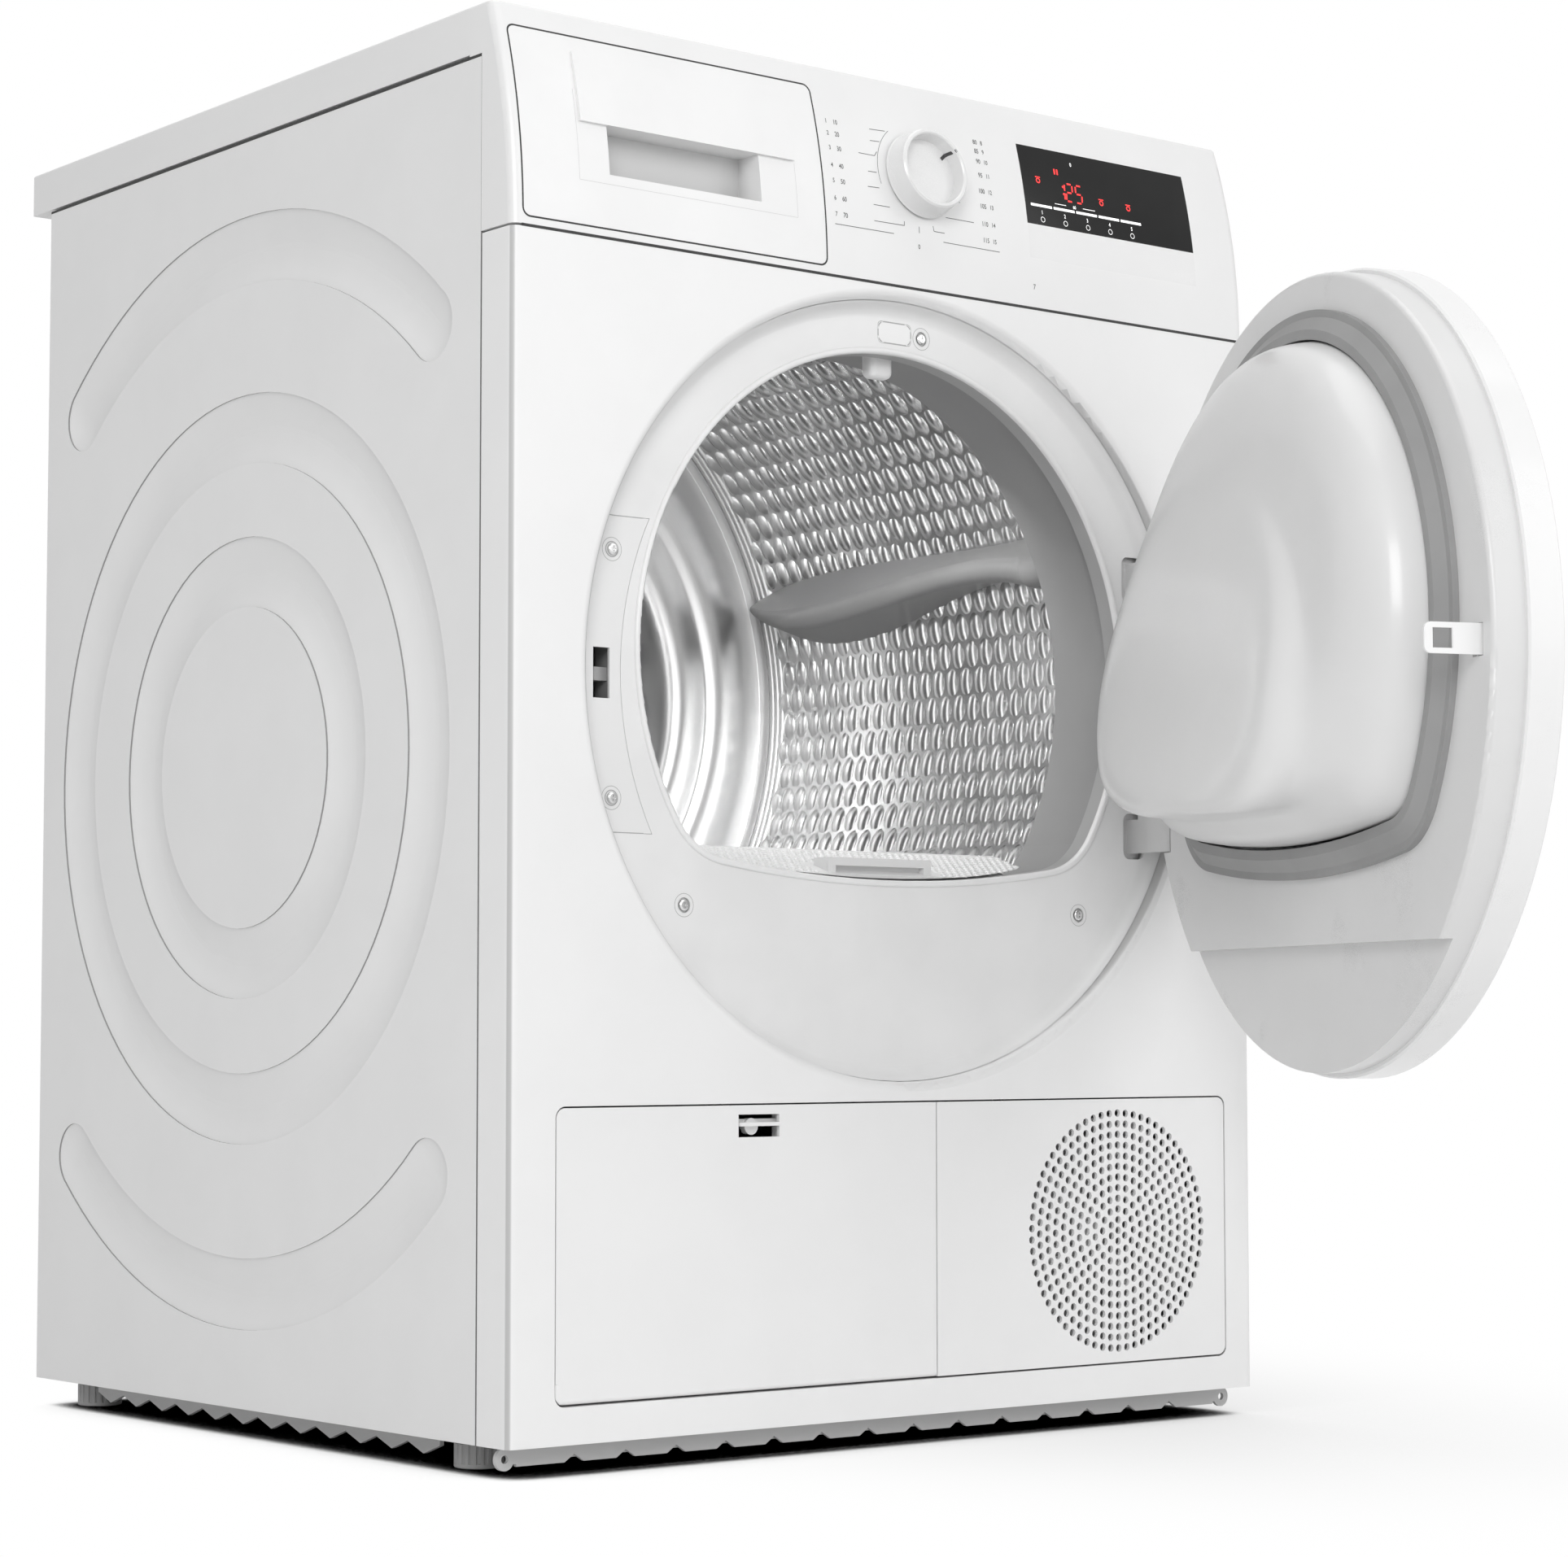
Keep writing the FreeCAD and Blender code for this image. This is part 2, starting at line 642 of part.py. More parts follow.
def make_program_knob():
    """Cup-shaped ring knob with its spindle."""
    rest = run_gap
    top = rest + knob_height
    dish = top - knob_bowl_depth
    wire = outline(
        Vector(0, -20, 0), Vector(knob_shaft_r, -20, 0), Vector(knob_shaft_r, rest, 0),
        Vector(knob_base_r - 1.0, rest, 0), Vector(knob_base_r, rest + 1.0, 0),
        Vector(knob_base_r - 0.6, rest + 2.4, 0),
        Vector(knob_front_r, top - 1.0, 0), Vector(knob_front_r - 1.0, top, 0),
        Vector(knob_bowl_r + 0.8, top, 0), Vector(knob_bowl_r, top - 0.8, 0),
        Vector(knob_bowl_r - 1.0, dish, 0), Vector(0, dish, 0))
    knob = Part.Face(wire).revolve(Vector(0, 0, 0), Vector(0, 1, 0), 360)
    direction, base = knob_axis()
    turn = FreeCAD.Rotation(Vector(0, 1, 0), direction)
    knob.Placement = FreeCAD.Placement(base, turn)
    return knob


def make_control_board():
    """Circuit board with the display module and the knob's encoder."""
    board_y = worktop_front_y - 12
    z = (console_low_z + 12, top_z - 12)
    board = box((drawer_x[1] + 14, half - 14), (board_y, board_y + 1.6), z)
    rear_of_window = face_y(window_z[1]) + face_wall + 0.8
    module = box((display_x[0] + 4, display_x[1] - 4), (rear_of_window, board_y),
                 (keys_z[0] + 4, window_z[1] - 4))
    direction, base = knob_axis()
    encoder = box((knob_x - 9, knob_x + 9), (base.y + 8, board_y),
                  (knob_z - 14, knob_z + 8))
    bore = Part.makeCylinder(knob_shaft_r + pin_gap, 60, base - direction * 40, direction)
    post_r = 3.0
    posts = [rod_y(x, z_post, post_r, (face_y(z_post + post_r) + face_wall, board_y))
             for x in (drawer_x[1] + 24, half - 24) for z_post in (z[0] + 8, z[1] - 8)]
    return fuse([board, module, encoder] + posts).cut(bore)


# ---------------------------------------------------------------- condensate container
def tank_section(grow, y):
    """Section of the container: flat at the left, hollowed over the drum."""
    under_r = drum_out_r + tank_drum_gap - grow
    left = drawer_x[0] + 8 - grow
    right = drawer_x[1] - 6 + grow
    low = drawer_z[0] + 4 - grow
    high = tank_top_z + grow
    meet_x = -math.sqrt(under_r ** 2 - (low - drum_z) ** 2)
    right_z = drum_z + math.sqrt(under_r ** 2 - right ** 2)
    middle_x = (meet_x + right) / 2
    middle_z = drum_z + math.sqrt(under_r ** 2 - middle_x ** 2)
    return outline(
        Vector(left, y, low), Vector(meet_x, y, low),
        (Vector(middle_x, y, middle_z), Vector(right, y, right_z)),
        Vector(right, y, high), Vector(left, y, high))


def tank_prism(grow, y):
    return Part.Face(tank_section(grow, y[0])).extrude(Vector(0, y[1] - y[0], 0))


def drawer_back_y():
    return face_y(drawer_z[1]) + face_wall + 2


def make_condensate_tank():
    y = (drawer_back_y(), tank_rear_y)
    tank = tank_prism(0, y).cut(tank_prism(-tank_wall, (y[0] + tank_wall, y[1] - tank_wall)))
    # recess behind the finger grip, inlet at the rear and the pouring spout
    grip_box = box((grip_x[0] - 6, grip_x[1] + 6), (y[0] - 1, grip_rear_y() + 3),
                   (grip_z[0] - 6, grip_z[1] + 6))
    grip_inner = box((grip_x[0] - 3.5, grip_x[1] + 3.5), (y[0] - 2, grip_rear_y() + 0.5),
                     (grip_z[0] - 3.5, grip_z[1] + 3.5))
    tank = tank.fuse(grip_box.common(tank_prism(0, y))).cut(grip_inner)
    inlet = rod_z(drawer_x[0] + 60, tank_rear_y - 40, 12,
                  (tank_top_z - tank_wall - 1, tank_top_z + 1))
    return tank.cut(inlet).removeSplitter()


def grip_rear_y():
    return face_y(grip_z[0]) + grip_depth


def make_container_front():
    """Face of the container with the overhanging grip and its finger pocket."""
    plate = round_corners(face_layer((0, face_wall), drawer_x, drawer_z), drawer_corner_r)
    rear = (face_y(drawer_z[0]), drawer_back_y())
    pads = [box(x, rear, z).cut(face_prism(-60, (-half, half), 0))
            for x in ((drawer_x[0] + 12, drawer_x[0] + 30), (drawer_x[1] - 30, drawer_x[1] - 12))
            for z in ((drawer_z[0] + 14, drawer_z[0] + 26), (tank_top_z - 26, tank_top_z - 14))]
    pads = [pad.common(face_prism(face_wall / 2, (-half, half), worktop_front_y))
            for pad in pads]
    brow_z = (grip_z[1], drawer_z[1] - 10)
    brow = box((grip_x[0] - 20, grip_x[1] + 27), (-3, 30), brow_z)
    wedge = face_prism(-2.2, (-half, half), 30, console_low_z, top_z)
    brow = brow.common(wedge).common(face_layer((-3, 1), (-half, half), brow_z))
    pocket_wall = box((grip_x[0] - 2.5, grip_x[1] + 2.5), (2, grip_rear_y()),
                      (grip_z[0] - 2.5, grip_z[1] + 2.5))
    pocket_wall = pocket_wall.common(face_prism(1, (-half, half), 80))
    front = fuse([plate, brow, pocket_wall] + pads)
    pocket = box(grip_x, (-5, grip_rear_y() - 2.5), grip_z)
    return front.cut(pocket).removeSplitter()


def make_container_guide():
    """Channel that carries the container: it grips the tank all round."""
    y = (drawer_back_y() + 6, tank_rear_y + 12)
    outer = tank_prism(guide_gap + guide_wall, y)
    inner = tank_prism(guide_gap, (y[0] - 1, y[1] - guide_wall))
    guide = outer.cut(inner)
    tab = box((drawer_x[0] + 20, drawer_x[0] + 60), (y[1] - 3, rear_panel_y[0]),
              (tank_top_z - 40, tank_top_z - 20))
    rails = [box((x, x + 14), (y[0] + 30, y[1] - 30),
                 (tank_top_z + guide_gap + guide_wall, worktop_low_z))
             for x in (drawer_x[0] + 24, drawer_x[1] - 40)]
    drain = rod_y(drawer_x[0] + 60, tank_top_z - 60, pipe_r, (y[1] - 5, y[1] + 5))
    return fuse([guide, tab] + rails).cut(drain)


# ---------------------------------------------------------------- porthole
def make_porthole_bezel():
    """Plastic ring between the recess and the loading opening, with its raised lip."""
    edge_r = recess_r - run_gap
    outer_wire = outline(
        Vector(0, bezel_y, 0), Vector(edge_r - bezel_roll, bezel_y, 0),
        (Vector(edge_r - bezel_roll * (1 - math.sqrt(0.5)),
                bezel_y - bezel_roll * (1 - math.sqrt(0.5)), 0),
         Vector(edge_r, bezel_y - bezel_roll, 0)),
        Vector(edge_r, bezel_y + bezel_wall, 0), Vector(0, bezel_y + bezel_wall, 0))
    disc = lathe(outer_wire, 0, door_mid_z)
    disc = disc.cut(mouth_plug(lip_width, (0, 60)))
    lip = mouth_tube(0, lip_width, (lip_front_y, bezel_y + bezel_wall + 10))
    front_edges = [e for e in lip.Edges if abs(e.CenterOfMass.y - lip_front_y) < 1e-3]
    lip = lip.makeFillet(1.6, front_edges)
    bezel = disc.fuse(lip)
    openings = [box((latch_x() - 6, latch_x() + 6), (0, 40), (latch_z(-1), latch_z(1)))]
    openings.append(insert_slab(0.0, 1.5))
    openings.append(cover_slab(0.0, 1.2))
    for level in arm_levels:
        openings.append(hinge_pocket(level))
    for x, z in screw_places():
        openings.append(rod_y(x, z, 4.6, (0, bezel_y + 1.2)))
        openings.append(rod_y(x, z, 1.8, (0, bezel_y + 9)))
    for x, z in insert_screw_places():
        openings.append(rod_y(x, z, 1.8, (0, bezel_y + 9)))
    return bezel.cut(fuse_loose(openings)).removeSplitter()


def latch_x():
    return strike_x


def latch_z(side):
    return strike_z + side * 15.0


def insert_slab(shrink, depth):
    """Plate beside the latch, let into the bezel's face."""
    half_height = 94.0 - shrink
    ring = ring_y(0, door_mid_z, recess_r - 5.0 - shrink, mouth_r + 14.0 + shrink,
                  (bezel_y, bezel_y + depth))
    return ring.common(box((-half, -150), (0, 60),
                           (strike_z - half_height, strike_z + half_height)))


def cover_slab(shrink, depth):
    """Small cover over the lamp, let into the bezel's face."""
    return rounded_slab((-11.2 + shrink, 16.4 - shrink), (684.6 + shrink, 698.5 - shrink),
                        3.0 - shrink, (bezel_y, bezel_y + depth))


def hinge_pocket(level):
    """Hole in the bezel that the hinge arm comes out of."""
    arm_x = hinge_x - hinge_neck
    return rounded_slab((arm_x - 9, arm_x + 9),
                        (level - hinge_height / 2 - 4, level + hinge_height / 2 + 4), 5.0,
                        (0, bezel_y + bezel_wall + 1))


def screw_places():
    return [(24.9, 690.6), (-163.0, 328.3), (158.0, 328.3)]


def insert_screw_places():
    return [(-216.6, strike_z + side * insert_screw_dz) for side in (1, -1)]


def make_latch_insert():
    plate = insert_slab(0.3, 1.5)
    slot = box((latch_x() - 6, latch_x() + 6), (0, 40), (latch_z(-1), latch_z(1)))
    holes = [rod_y(x, z, 1.8, (0, 40)) for x, z in insert_screw_places()]
    return plate.cut(fuse_loose([slot] + holes))


def make_screws():
    """Pan-head screws of the bezel: head, shank and a cross recess."""
    screws = []
    for x, z in screw_places() + insert_screw_places():
        seat = bezel_y + 1.2 if (x, z) in screw_places() else bezel_y
        head = rod_y(x, z, 3.6, (seat - 2.2, seat))
        head = head.makeFillet(1.4, [e for e in head.Edges
                                     if abs(e.CenterOfMass.y - seat + 2.2) < 1e-3])
        shank = rod_y(x, z, 1.7, (seat, bezel_y + bezel_wall + 6))
        cross = box((x - 1.8, x + 1.8), (seat - 3, seat - 1.2), (z - 0.35, z + 0.35))
        cross = cross.fuse(box((x - 0.35, x + 0.35), (seat - 3, seat - 1.2),
                               (z - 1.8, z + 1.8)))
        screws.append(fuse([head, shank]).cut(cross))
    return Part.makeCompound(screws)


def throat_offset():
    """The throat's inside, measured out from the loading opening."""
    return throat_clear + lip_width


def throat_flange_y():
    return (bezel_y + bezel_wall, bezel_y + bezel_wall + throat_wall)


def make_front_throat():
    """Grey inner ring behind the bezel: mounting flange, throat tube, the guide of the
    catch bolt and the pocket of the lint filter."""
    flange_y = throat_flange_y()
    across = (flange_y[0] - 1, flange_y[1] + 1)
    flange = rod_y(0, door_mid_z, recess_r + 5, flange_y).cut(
        mouth_plug(throat_offset(), (0, 60)))
    for level in arm_levels:
        arm_x = hinge_x - hinge_neck
        flange = flange.cut(box((arm_x - 9, arm_x + 9), across,
                                (level - hinge_height / 2 - 4, level + hinge_height / 2 + 4)))
    flange = flange.cut(box((-half, catch_notch_x), across,
                            (strike_z - catch_half_height - 3, strike_z + catch_half_height + 3)))
    holes = [rod_y(x, z, 1.8, (0, 40)) for x, z in screw_places() + insert_screw_places()]
    tube = mouth_tube(throat_offset(), throat_offset() + throat_wall,
                      (flange_y[0], throat_rear_y))
    pocket = filter_box(guide_gap + throat_wall, 3.0).cut(
        mouth_plug(throat_offset(), (0, 200)))
    throat = fuse([flange, tube, pocket]).cut(filter_box(guide_gap, 0.0))
    return throat.cut(fuse_loose(holes)).fuse(make_catch_housing())


def make_drum_shield():
    """Grey disc in front of the drum with its felt seat and the roller axles."""
    disc_y = (throat_rear_y, throat_rear_y + 3)
    disc = rod_y(0, drum_z, shield_r, disc_y).cut(mouth_plug(throat_offset(), (0, 200)))
    seat = ring_y(0, drum_z, shield_r, shield_r - 3, (disc_y[0], drum_cone_y - 6))
    pieces = [disc, seat]
    for x, z in roller_places():
        toward_x, toward_z = x / roller_circle(), (z - drum_z) / roller_circle()

        def lug_corner(along, across):
            return (toward_x * along - toward_z * across,
                    drum_z + toward_z * along + toward_x * across)

        root = shield_r - 12
        tip = roller_circle()
        lug = polygon_prism([lug_corner(root, 26), lug_corner(tip, 14),
                             lug_corner(tip, -14), lug_corner(root, -26)], disc_y)
        pin = rod_y(x, z, roller_pin_r, (disc_y[0], roller_y()[1] + 3))
        pieces += [lug, rod_y(x, z, 14, disc_y), pin]
    return fuse(pieces)


def filter_box(grow, deeper):
    """Pocket of the lint filter below the loading opening."""
    x = (-filter_half - grow, filter_half + grow)
    y = (filter_y[0] - grow, filter_y[1] + grow)
    return box(x, y, (filter_low_z - deeper, mouth_floor_z + 10))


def make_lint_filter():
    """Filter cartridge with its sloping cover and grip, standing in the pocket."""
    top = mouth_floor_z + 0.5
    frame = box((-filter_half, filter_half), filter_y, (filter_low_z + 0.2, top))
    hollow_x = [(-filter_half + 6, -3), (3, filter_half - 6)]
    hollow_z = (filter_low_z + 10, top - 8)
    hollows = [box(x, (filter_y[0] + 2, filter_y[1] - 2), hollow_z) for x in hollow_x]
    windows = [box((x[0] + 8, x[1] - 8), (filter_y[0] - 4, filter_y[1] + 4),
                   (hollow_z[0] + 8, hollow_z[1] - 8)) for x in hollow_x]
    sieves = [box(x, (y, y + 0.6), hollow_z)
              for x in hollow_x for y in (filter_y[0] + 2.2, filter_y[1] - 2.8)]
    frame = frame.cut(fuse_loose(hollows)).cut(fuse_loose(windows))
    cover_wire = outline(
        Vector(-140, 24, mouth_floor_z + 3.5), Vector(-140, throat_rear_y - 3, mouth_floor_z + 21.5),
        Vector(-140, throat_rear_y - 3, mouth_floor_z + 19), Vector(-140, 24, mouth_floor_z + 1))
    cover = Part.Face(cover_wire).extrude(Vector(280, 0, 0))
    riser = box((-filter_half, filter_half), filter_y, (top - 8, mouth_floor_z + 14)).cut(
        Part.Face(outline(
            Vector(-150, 20, mouth_floor_z), Vector(-150, 80, mouth_floor_z + 19),
            Vector(-150, 80, mouth_floor_z + 60), Vector(-150, 20, mouth_floor_z + 60))
        ).extrude(Vector(300, 0, 0)))
    cover = cover.common(mouth_plug(-1.5, (20, throat_rear_y)))
    grip = box((-42, 42), (28, 42), (mouth_floor_z + 3, mouth_floor_z + 14)).cut(
        box((-36, 36), (20, 33), (mouth_floor_z - 2, mouth_floor_z + 9)))
    grip = grip.common(box((-42, 42), (26, 42), (mouth_floor_z + 4, mouth_floor_z + 14)))
    return fuse([frame, cover, riser, grip] + sieves)


def make_drum_lamp():
    """Lamp under the top of the throat, and its cover let into the bezel's face."""
    body = box((0.5, 20.5), (30, 52), (mouth_mid_z + mouth_r - 15, mouth_mid_z + mouth_r + 7))
    body = body.makeFillet(4.0, [e for e in body.Edges
                                 if abs(e.tangentAt(0).y) > 0.9
                                 and e.CenterOfMass.z < mouth_mid_z + mouth_r])
    body = body.common(mouth_plug(throat_offset(), (0, 80)))
    return Part.makeCompound([body, cover_slab(0.3, 1.2)])


# ---------------------------------------------------------------- door, modelled closed
def pin_level(side):
    return door_mid_z + side * hinge_pin_dz


def arm_span(side, grow=0.0):
    """Height range of a hinge arm: from its pin out to the pocket in the bezel."""
    ends = (pin_level(side) - side * (hinge_height / 2 + grow),
            door_mid_z + side * (hinge_arm_dz + hinge_height / 2 + grow))
    return (min(ends), max(ends))


def hinge_cutouts():
    """Slots in the door that the hinge arms sweep through."""
    return fuse_loose([box((hinge_x - hinge_neck - hinge_plate - 2, door_r + 5),
                           (hinge_y - 4, door_face_y + 3), arm_span(side, hinge_slot))
                       for side in (-1, 1)])


def make_door_front_panel():
    """Domed outer panel."""
    edge = door_r - 3
    dome_r = (edge ** 2 + door_dome ** 2) / (2 * door_dome)
    crown = door_front_y - door_dome
    inner_r = dome_r - door_wall
    tilt = math.asin(edge / dome_r)
    inner_tilt = math.asin(edge / inner_r)

    def on_dome(radius, angle):
        return Vector(radius * math.sin(angle), crown + dome_r - radius * math.cos(angle), 0)

    flat = 0.001
    top, bottom = on_dome(dome_r, flat), on_dome(inner_r, flat)
    shell = outline(
        Vector(0, top.y, 0), top, (on_dome(dome_r, tilt / 2), on_dome(dome_r, tilt)),
        on_dome(inner_r, inner_tilt), (on_dome(inner_r, inner_tilt / 2), bottom),
        Vector(0, bottom.y, 0))
    return lathe(shell, 0, door_mid_z)


def make_door_outer_ring():
    """White outer ring: its rolled front edge holds the domed panel."""
    wall = door_wall
    lip_y = door_front_y + wall + 0.05
    ring = outline(
        Vector(door_r - 3, door_front_y, 0), Vector(door_r - 2, door_front_y, 0),
        (Vector(door_r - 0.6, door_front_y + 0.6, 0), Vector(door_r, door_front_y + 2, 0)),
        Vector(door_r, door_seam_y - 1.2, 0), Vector(door_r - 1.2, door_seam_y, 0),
        Vector(door_seam_r - wall, door_seam_y, 0),
        Vector(door_seam_r - wall, door_seam_y - 2, 0),
        Vector(door_r - wall, door_seam_y - 2, 0),
        Vector(door_r - wall, lip_y + 1.45, 0), Vector(door_r - 8, lip_y + 1.45, 0),
        Vector(door_r - 8, lip_y, 0), Vector(door_r - 3, lip_y, 0))
    solid = lathe(ring, 0, door_mid_z)
    return solid.cut(hinge_cutouts())


def make_door_inner_frame():
    """Inner shell: rounded side wall, flat face and the seat of seal and bowl."""
    wall = door_wall
    side = door_seam_r - 0.8
    knee = math.sqrt(0.5)
    bend = side - door_face_r
    shell = outline(
        Vector(side, door_seam_y, 0), Vector(side, door_face_y - bend, 0),
        (Vector(door_face_r + bend * knee, door_face_y - bend * (1 - knee), 0),
         Vector(door_face_r, door_face_y, 0)),
        Vector(0, door_face_y, 0), Vector(0, door_face_y - wall, 0),
        Vector(door_face_r - wall, door_face_y - wall, 0), Vector(side - wall, door_face_y - wall - bend, 0),
        Vector(side - wall, door_seam_y, 0))
    frame = lathe(shell, 0, door_mid_z)
    frame = frame.cut(mouth_plug(seal_base - seal_width + 1, (door_face_y - 10, door_face_y + 10)))
    step_zone = box((-half, half), (door_face_y - door_step, door_face_y + 5),
                    (door_mid_z - door_r - 5, door_step_z))
    lowered = box((-half, half), (door_face_y - door_step - wall, door_face_y - door_step),
                  (door_mid_z - door_r - 5, door_step_z))
    inside = rod_y(0, door_mid_z, side - wall, (door_seam_y, door_face_y))
    riser = box((-half, half), (door_face_y - door_step - wall, door_face_y),
                (door_step_z, door_step_z + wall))
    frame = frame.cut(step_zone)
    frame = fuse([frame, lowered.common(inside), riser.common(inside)])
    frame = frame.cut(hinge_cutouts())
    slot = box((strike_x - 2.5, strike_x + 9.5), (door_face_y - 20, door_face_y + 5),
               (strike_z - strike_height / 2 - 0.5, strike_z + strike_height / 2 + 0.5))
    return frame.cut(slot)


def make_door_seal():
    """Rubber profile round the bowl: a wide foot and a tapering lip."""
    foot = mouth_tube(seal_base - seal_width, seal_base, (door_face_y, door_face_y + 4))
    outer_low = mouth_wire(1.0, door_face_y + 3)
    outer_top = mouth_wire(-8.0, seal_tip_y)
    cone = Part.makeLoft([outer_low, outer_top], True, True)
    cone = cone.cut(mouth_plug(seal_base - seal_width, (0, 80)))
    return fuse([foot, cone])


def nose_depth(x, z):
    return bowl_nose_y + bowl_nose_lean * x - bowl_nose_fall * (z - bowl_nose_z)


def round_table(values, turn):
    """Smooth periodic value between the equally spaced values of a full turn."""
    count = len(values)
    place = turn / (2 * math.pi) * count
    first = math.floor(place)
    part = place - first
    a, b, c, d = (values[(first + k) % count] for k in (-1, 0, 1, 2))
    slope_b, slope_c = (c - a) / 2, (d - b) / 2
    return (b * (1 + 2 * part) * (1 - part) ** 2 + slope_b * part * (1 - part) ** 2
            + c * part ** 2 * (3 - 2 * part) - slope_c * part ** 2 * (1 - part))


def rim_radii(offset, turns):
    """Distances from the nose's middle to the loading opening's outline."""
    mid_x, mid_z = bowl_nose_mid
    fine = mouth_wire(offset, 0).discretize(Number=1441)
    found = sorted((math.atan2(p.z - mid_z, p.x - mid_x) % (2 * math.pi),
                    math.hypot(p.x - mid_x, p.z - mid_z)) for p in fine)
    radii = []
    for turn in turns:
        radii.append(min(found, key=lambda pair: abs(pair[0] - turn))[1])
    return radii


def bowl_solid(shrink):
    """Bowl with a drafted side, a rounded shoulder and a nose that slopes towards
    the floor of the loading opening."""
    count = 60
    mid_x, mid_z = bowl_nose_mid
    turns = [2 * math.pi * i / count for i in range(count)]
    nose = [round_table(bowl_nose_radii, turn) - shrink for turn in turns]
    shoulder_y, shoulder_in = bowl_draft[-1]

    def place(turn, radius, y):
        return Vector(mid_x + radius * math.cos(turn), y, mid_z + radius * math.sin(turn))

    rings = []
    for depth, drawn in bowl_draft:
        radii = rim_radii(seal_base - seal_width - 0.3 - drawn - shrink, turns)
        level = depth - shrink
        if depth == bowl_draft[0][0] and shrink:
            level -= 1.0
        rings.append([place(turn, radius, level) for turn, radius in zip(turns, radii)])
    for share, lift in ((0.33, 0.36), (0.66, 0.72), (0.90, 0.94)):
        ring = []
        for turn, rim, tip in zip(turns, radii, nose):
            radius = rim + (tip - rim) * share
            top = place(turn, tip, 0)
            rise = nose_depth(top.x, top.z) - shoulder_y
            ring.append(place(turn, radius, shoulder_y + rise * lift - shrink))
        rings.append(ring)
    for inward in (0.93, 0.80):
        ring = []
        for turn, tip in zip(turns, nose):
            flat = place(turn, tip * inward, 0)
            ring.append(place(turn, tip * inward, nose_depth(flat.x, flat.z) - shrink))
        rings.append(ring)
    knots = [i / count for i in range(count + 1)]
    wires = []
    for ring in rings:
        curve = Part.BSplineCurve()
        curve.interpolate(Points=ring, Parameters=knots, PeriodicFlag=True)
        wires.append(Part.Wire([curve.toShape()]))
    return Part.makeLoft(wires, True, True)


def make_door_bowl():
    flange = mouth_tube(seal_base - seal_width - 12, seal_base - seal_width - 0.3,
                        (door_face_y - door_wall, door_face_y + 4))
    return fuse([bowl_solid(0.0), flange]).cut(bowl_solid(bowl_wall))


def make_hinge_leaves():
    """Door side of the hinges: a foot behind the outer ring, two ears and the pin."""
    leaves = []
    foot_y = door_front_y + door_wall + 1.5
    reach = hinge_height / 2 + hinge_slot
    for side in (-1, 1):
        level = pin_level(side)
        z = (level - reach - 2.5, level + reach + 2.5)
        foot = box((hinge_x - 29, hinge_x + 1), (foot_y, foot_y + 2.5), z)
        ears = [box((hinge_x - 9, hinge_x + 3), (foot_y, hinge_y + 4.5), (low, low + 2.5))
                for low in (z[0], z[1] - 2.5)]
        pin = rod_z(hinge_x, hinge_y, hinge_pin_r, z)
        leaves.append(fuse([foot, pin] + ears))
    return Part.makeCompound(leaves)


def make_hinge_brackets():
    """Cabinet side: goose-neck arms with an eye round the pin, on a plate behind the
    bezel."""
    brackets = []
    arm_x = hinge_x - hinge_neck
    back_y = bezel_y + bezel_wall + throat_wall
    for side, level in zip((-1, 1), arm_levels):
        z = (level - hinge_height / 2, level + hinge_height / 2)
        pin_z = (pin_level(side) - hinge_height / 2, pin_level(side) + hinge_height / 2)
        eye = rod_z(hinge_x, hinge_y, hinge_pin_r + 2.5, pin_z)
        neck = box((arm_x - hinge_plate / 2, hinge_x),
                   (hinge_y - hinge_plate / 2, hinge_y + hinge_plate / 2), pin_z)
        web = box((arm_x - hinge_plate / 2, arm_x + hinge_plate / 2),
                  (hinge_y - hinge_plate / 2, door_face_y + 6), arm_span(side))
        arm = box((arm_x - hinge_plate / 2, arm_x + hinge_plate / 2),
                  (hinge_y - hinge_plate / 2, back_y), z)
        plate = box((arm_x - 6, arm_x + 16), (back_y, back_y + 3), (z[0] - 12, z[1] + 12))
        bracket = fuse([eye, neck, web, arm, plate])
        bore = rod_z(hinge_x, hinge_y, hinge_pin_r + pin_gap, (pin_z[0] - 1, pin_z[1] + 1))
        brackets.append(bracket.cut(bore))
    return Part.makeCompound(brackets)


def make_latch_strike():
    """Bent steel plate on the door with the square hole for the catch."""
    z = (strike_z - strike_height / 2, strike_z + strike_height / 2)
    plate = box((strike_x - strike_plate / 2, strike_x + strike_plate / 2),
                (door_face_y - 8, door_face_y + strike_length), z)
    plate = plate.makeFillet(4.0, [e for e in plate.Edges if abs(e.tangentAt(0).x) > 0.9
                                   and e.CenterOfMass.y > door_face_y + strike_length - 1])
    foot = box((strike_x - strike_plate / 2, strike_x + 8), (door_face_y - 8, door_face_y - 8 + 2), z)
    lug = box((strike_x + 8, strike_x + 16), (door_face_y - 8, door_face_y - door_wall), z)
    hole = box((strike_x - 5, strike_x + 5),
               (catch_y() - strike_hole / 2, catch_y() + strike_hole / 2),
               (strike_z - strike_hole / 2 + 0.5, strike_z + strike_hole / 2 - 0.5))
    return fuse([plate, foot, lug]).cut(hole)


def catch_y():
    return door_face_y + strike_length - 5 - strike_hole / 2


def make_catch_bolt():
    """Sprung bolt that drops into the strike's hole."""
    z = (strike_z - 4, strike_z + 4)
    nose = strike_x - 2.5
    bolt = box((nose, strike_x + 14), (catch_y() - 4, catch_y() + 4), z)
    bolt = bolt.makeChamfer(2.4, [e for e in bolt.Edges if abs(e.tangentAt(0).z) > 0.9
                                  and e.CenterOfMass.x < nose + 1
                                  and e.CenterOfMass.y < catch_y()])
    return bolt


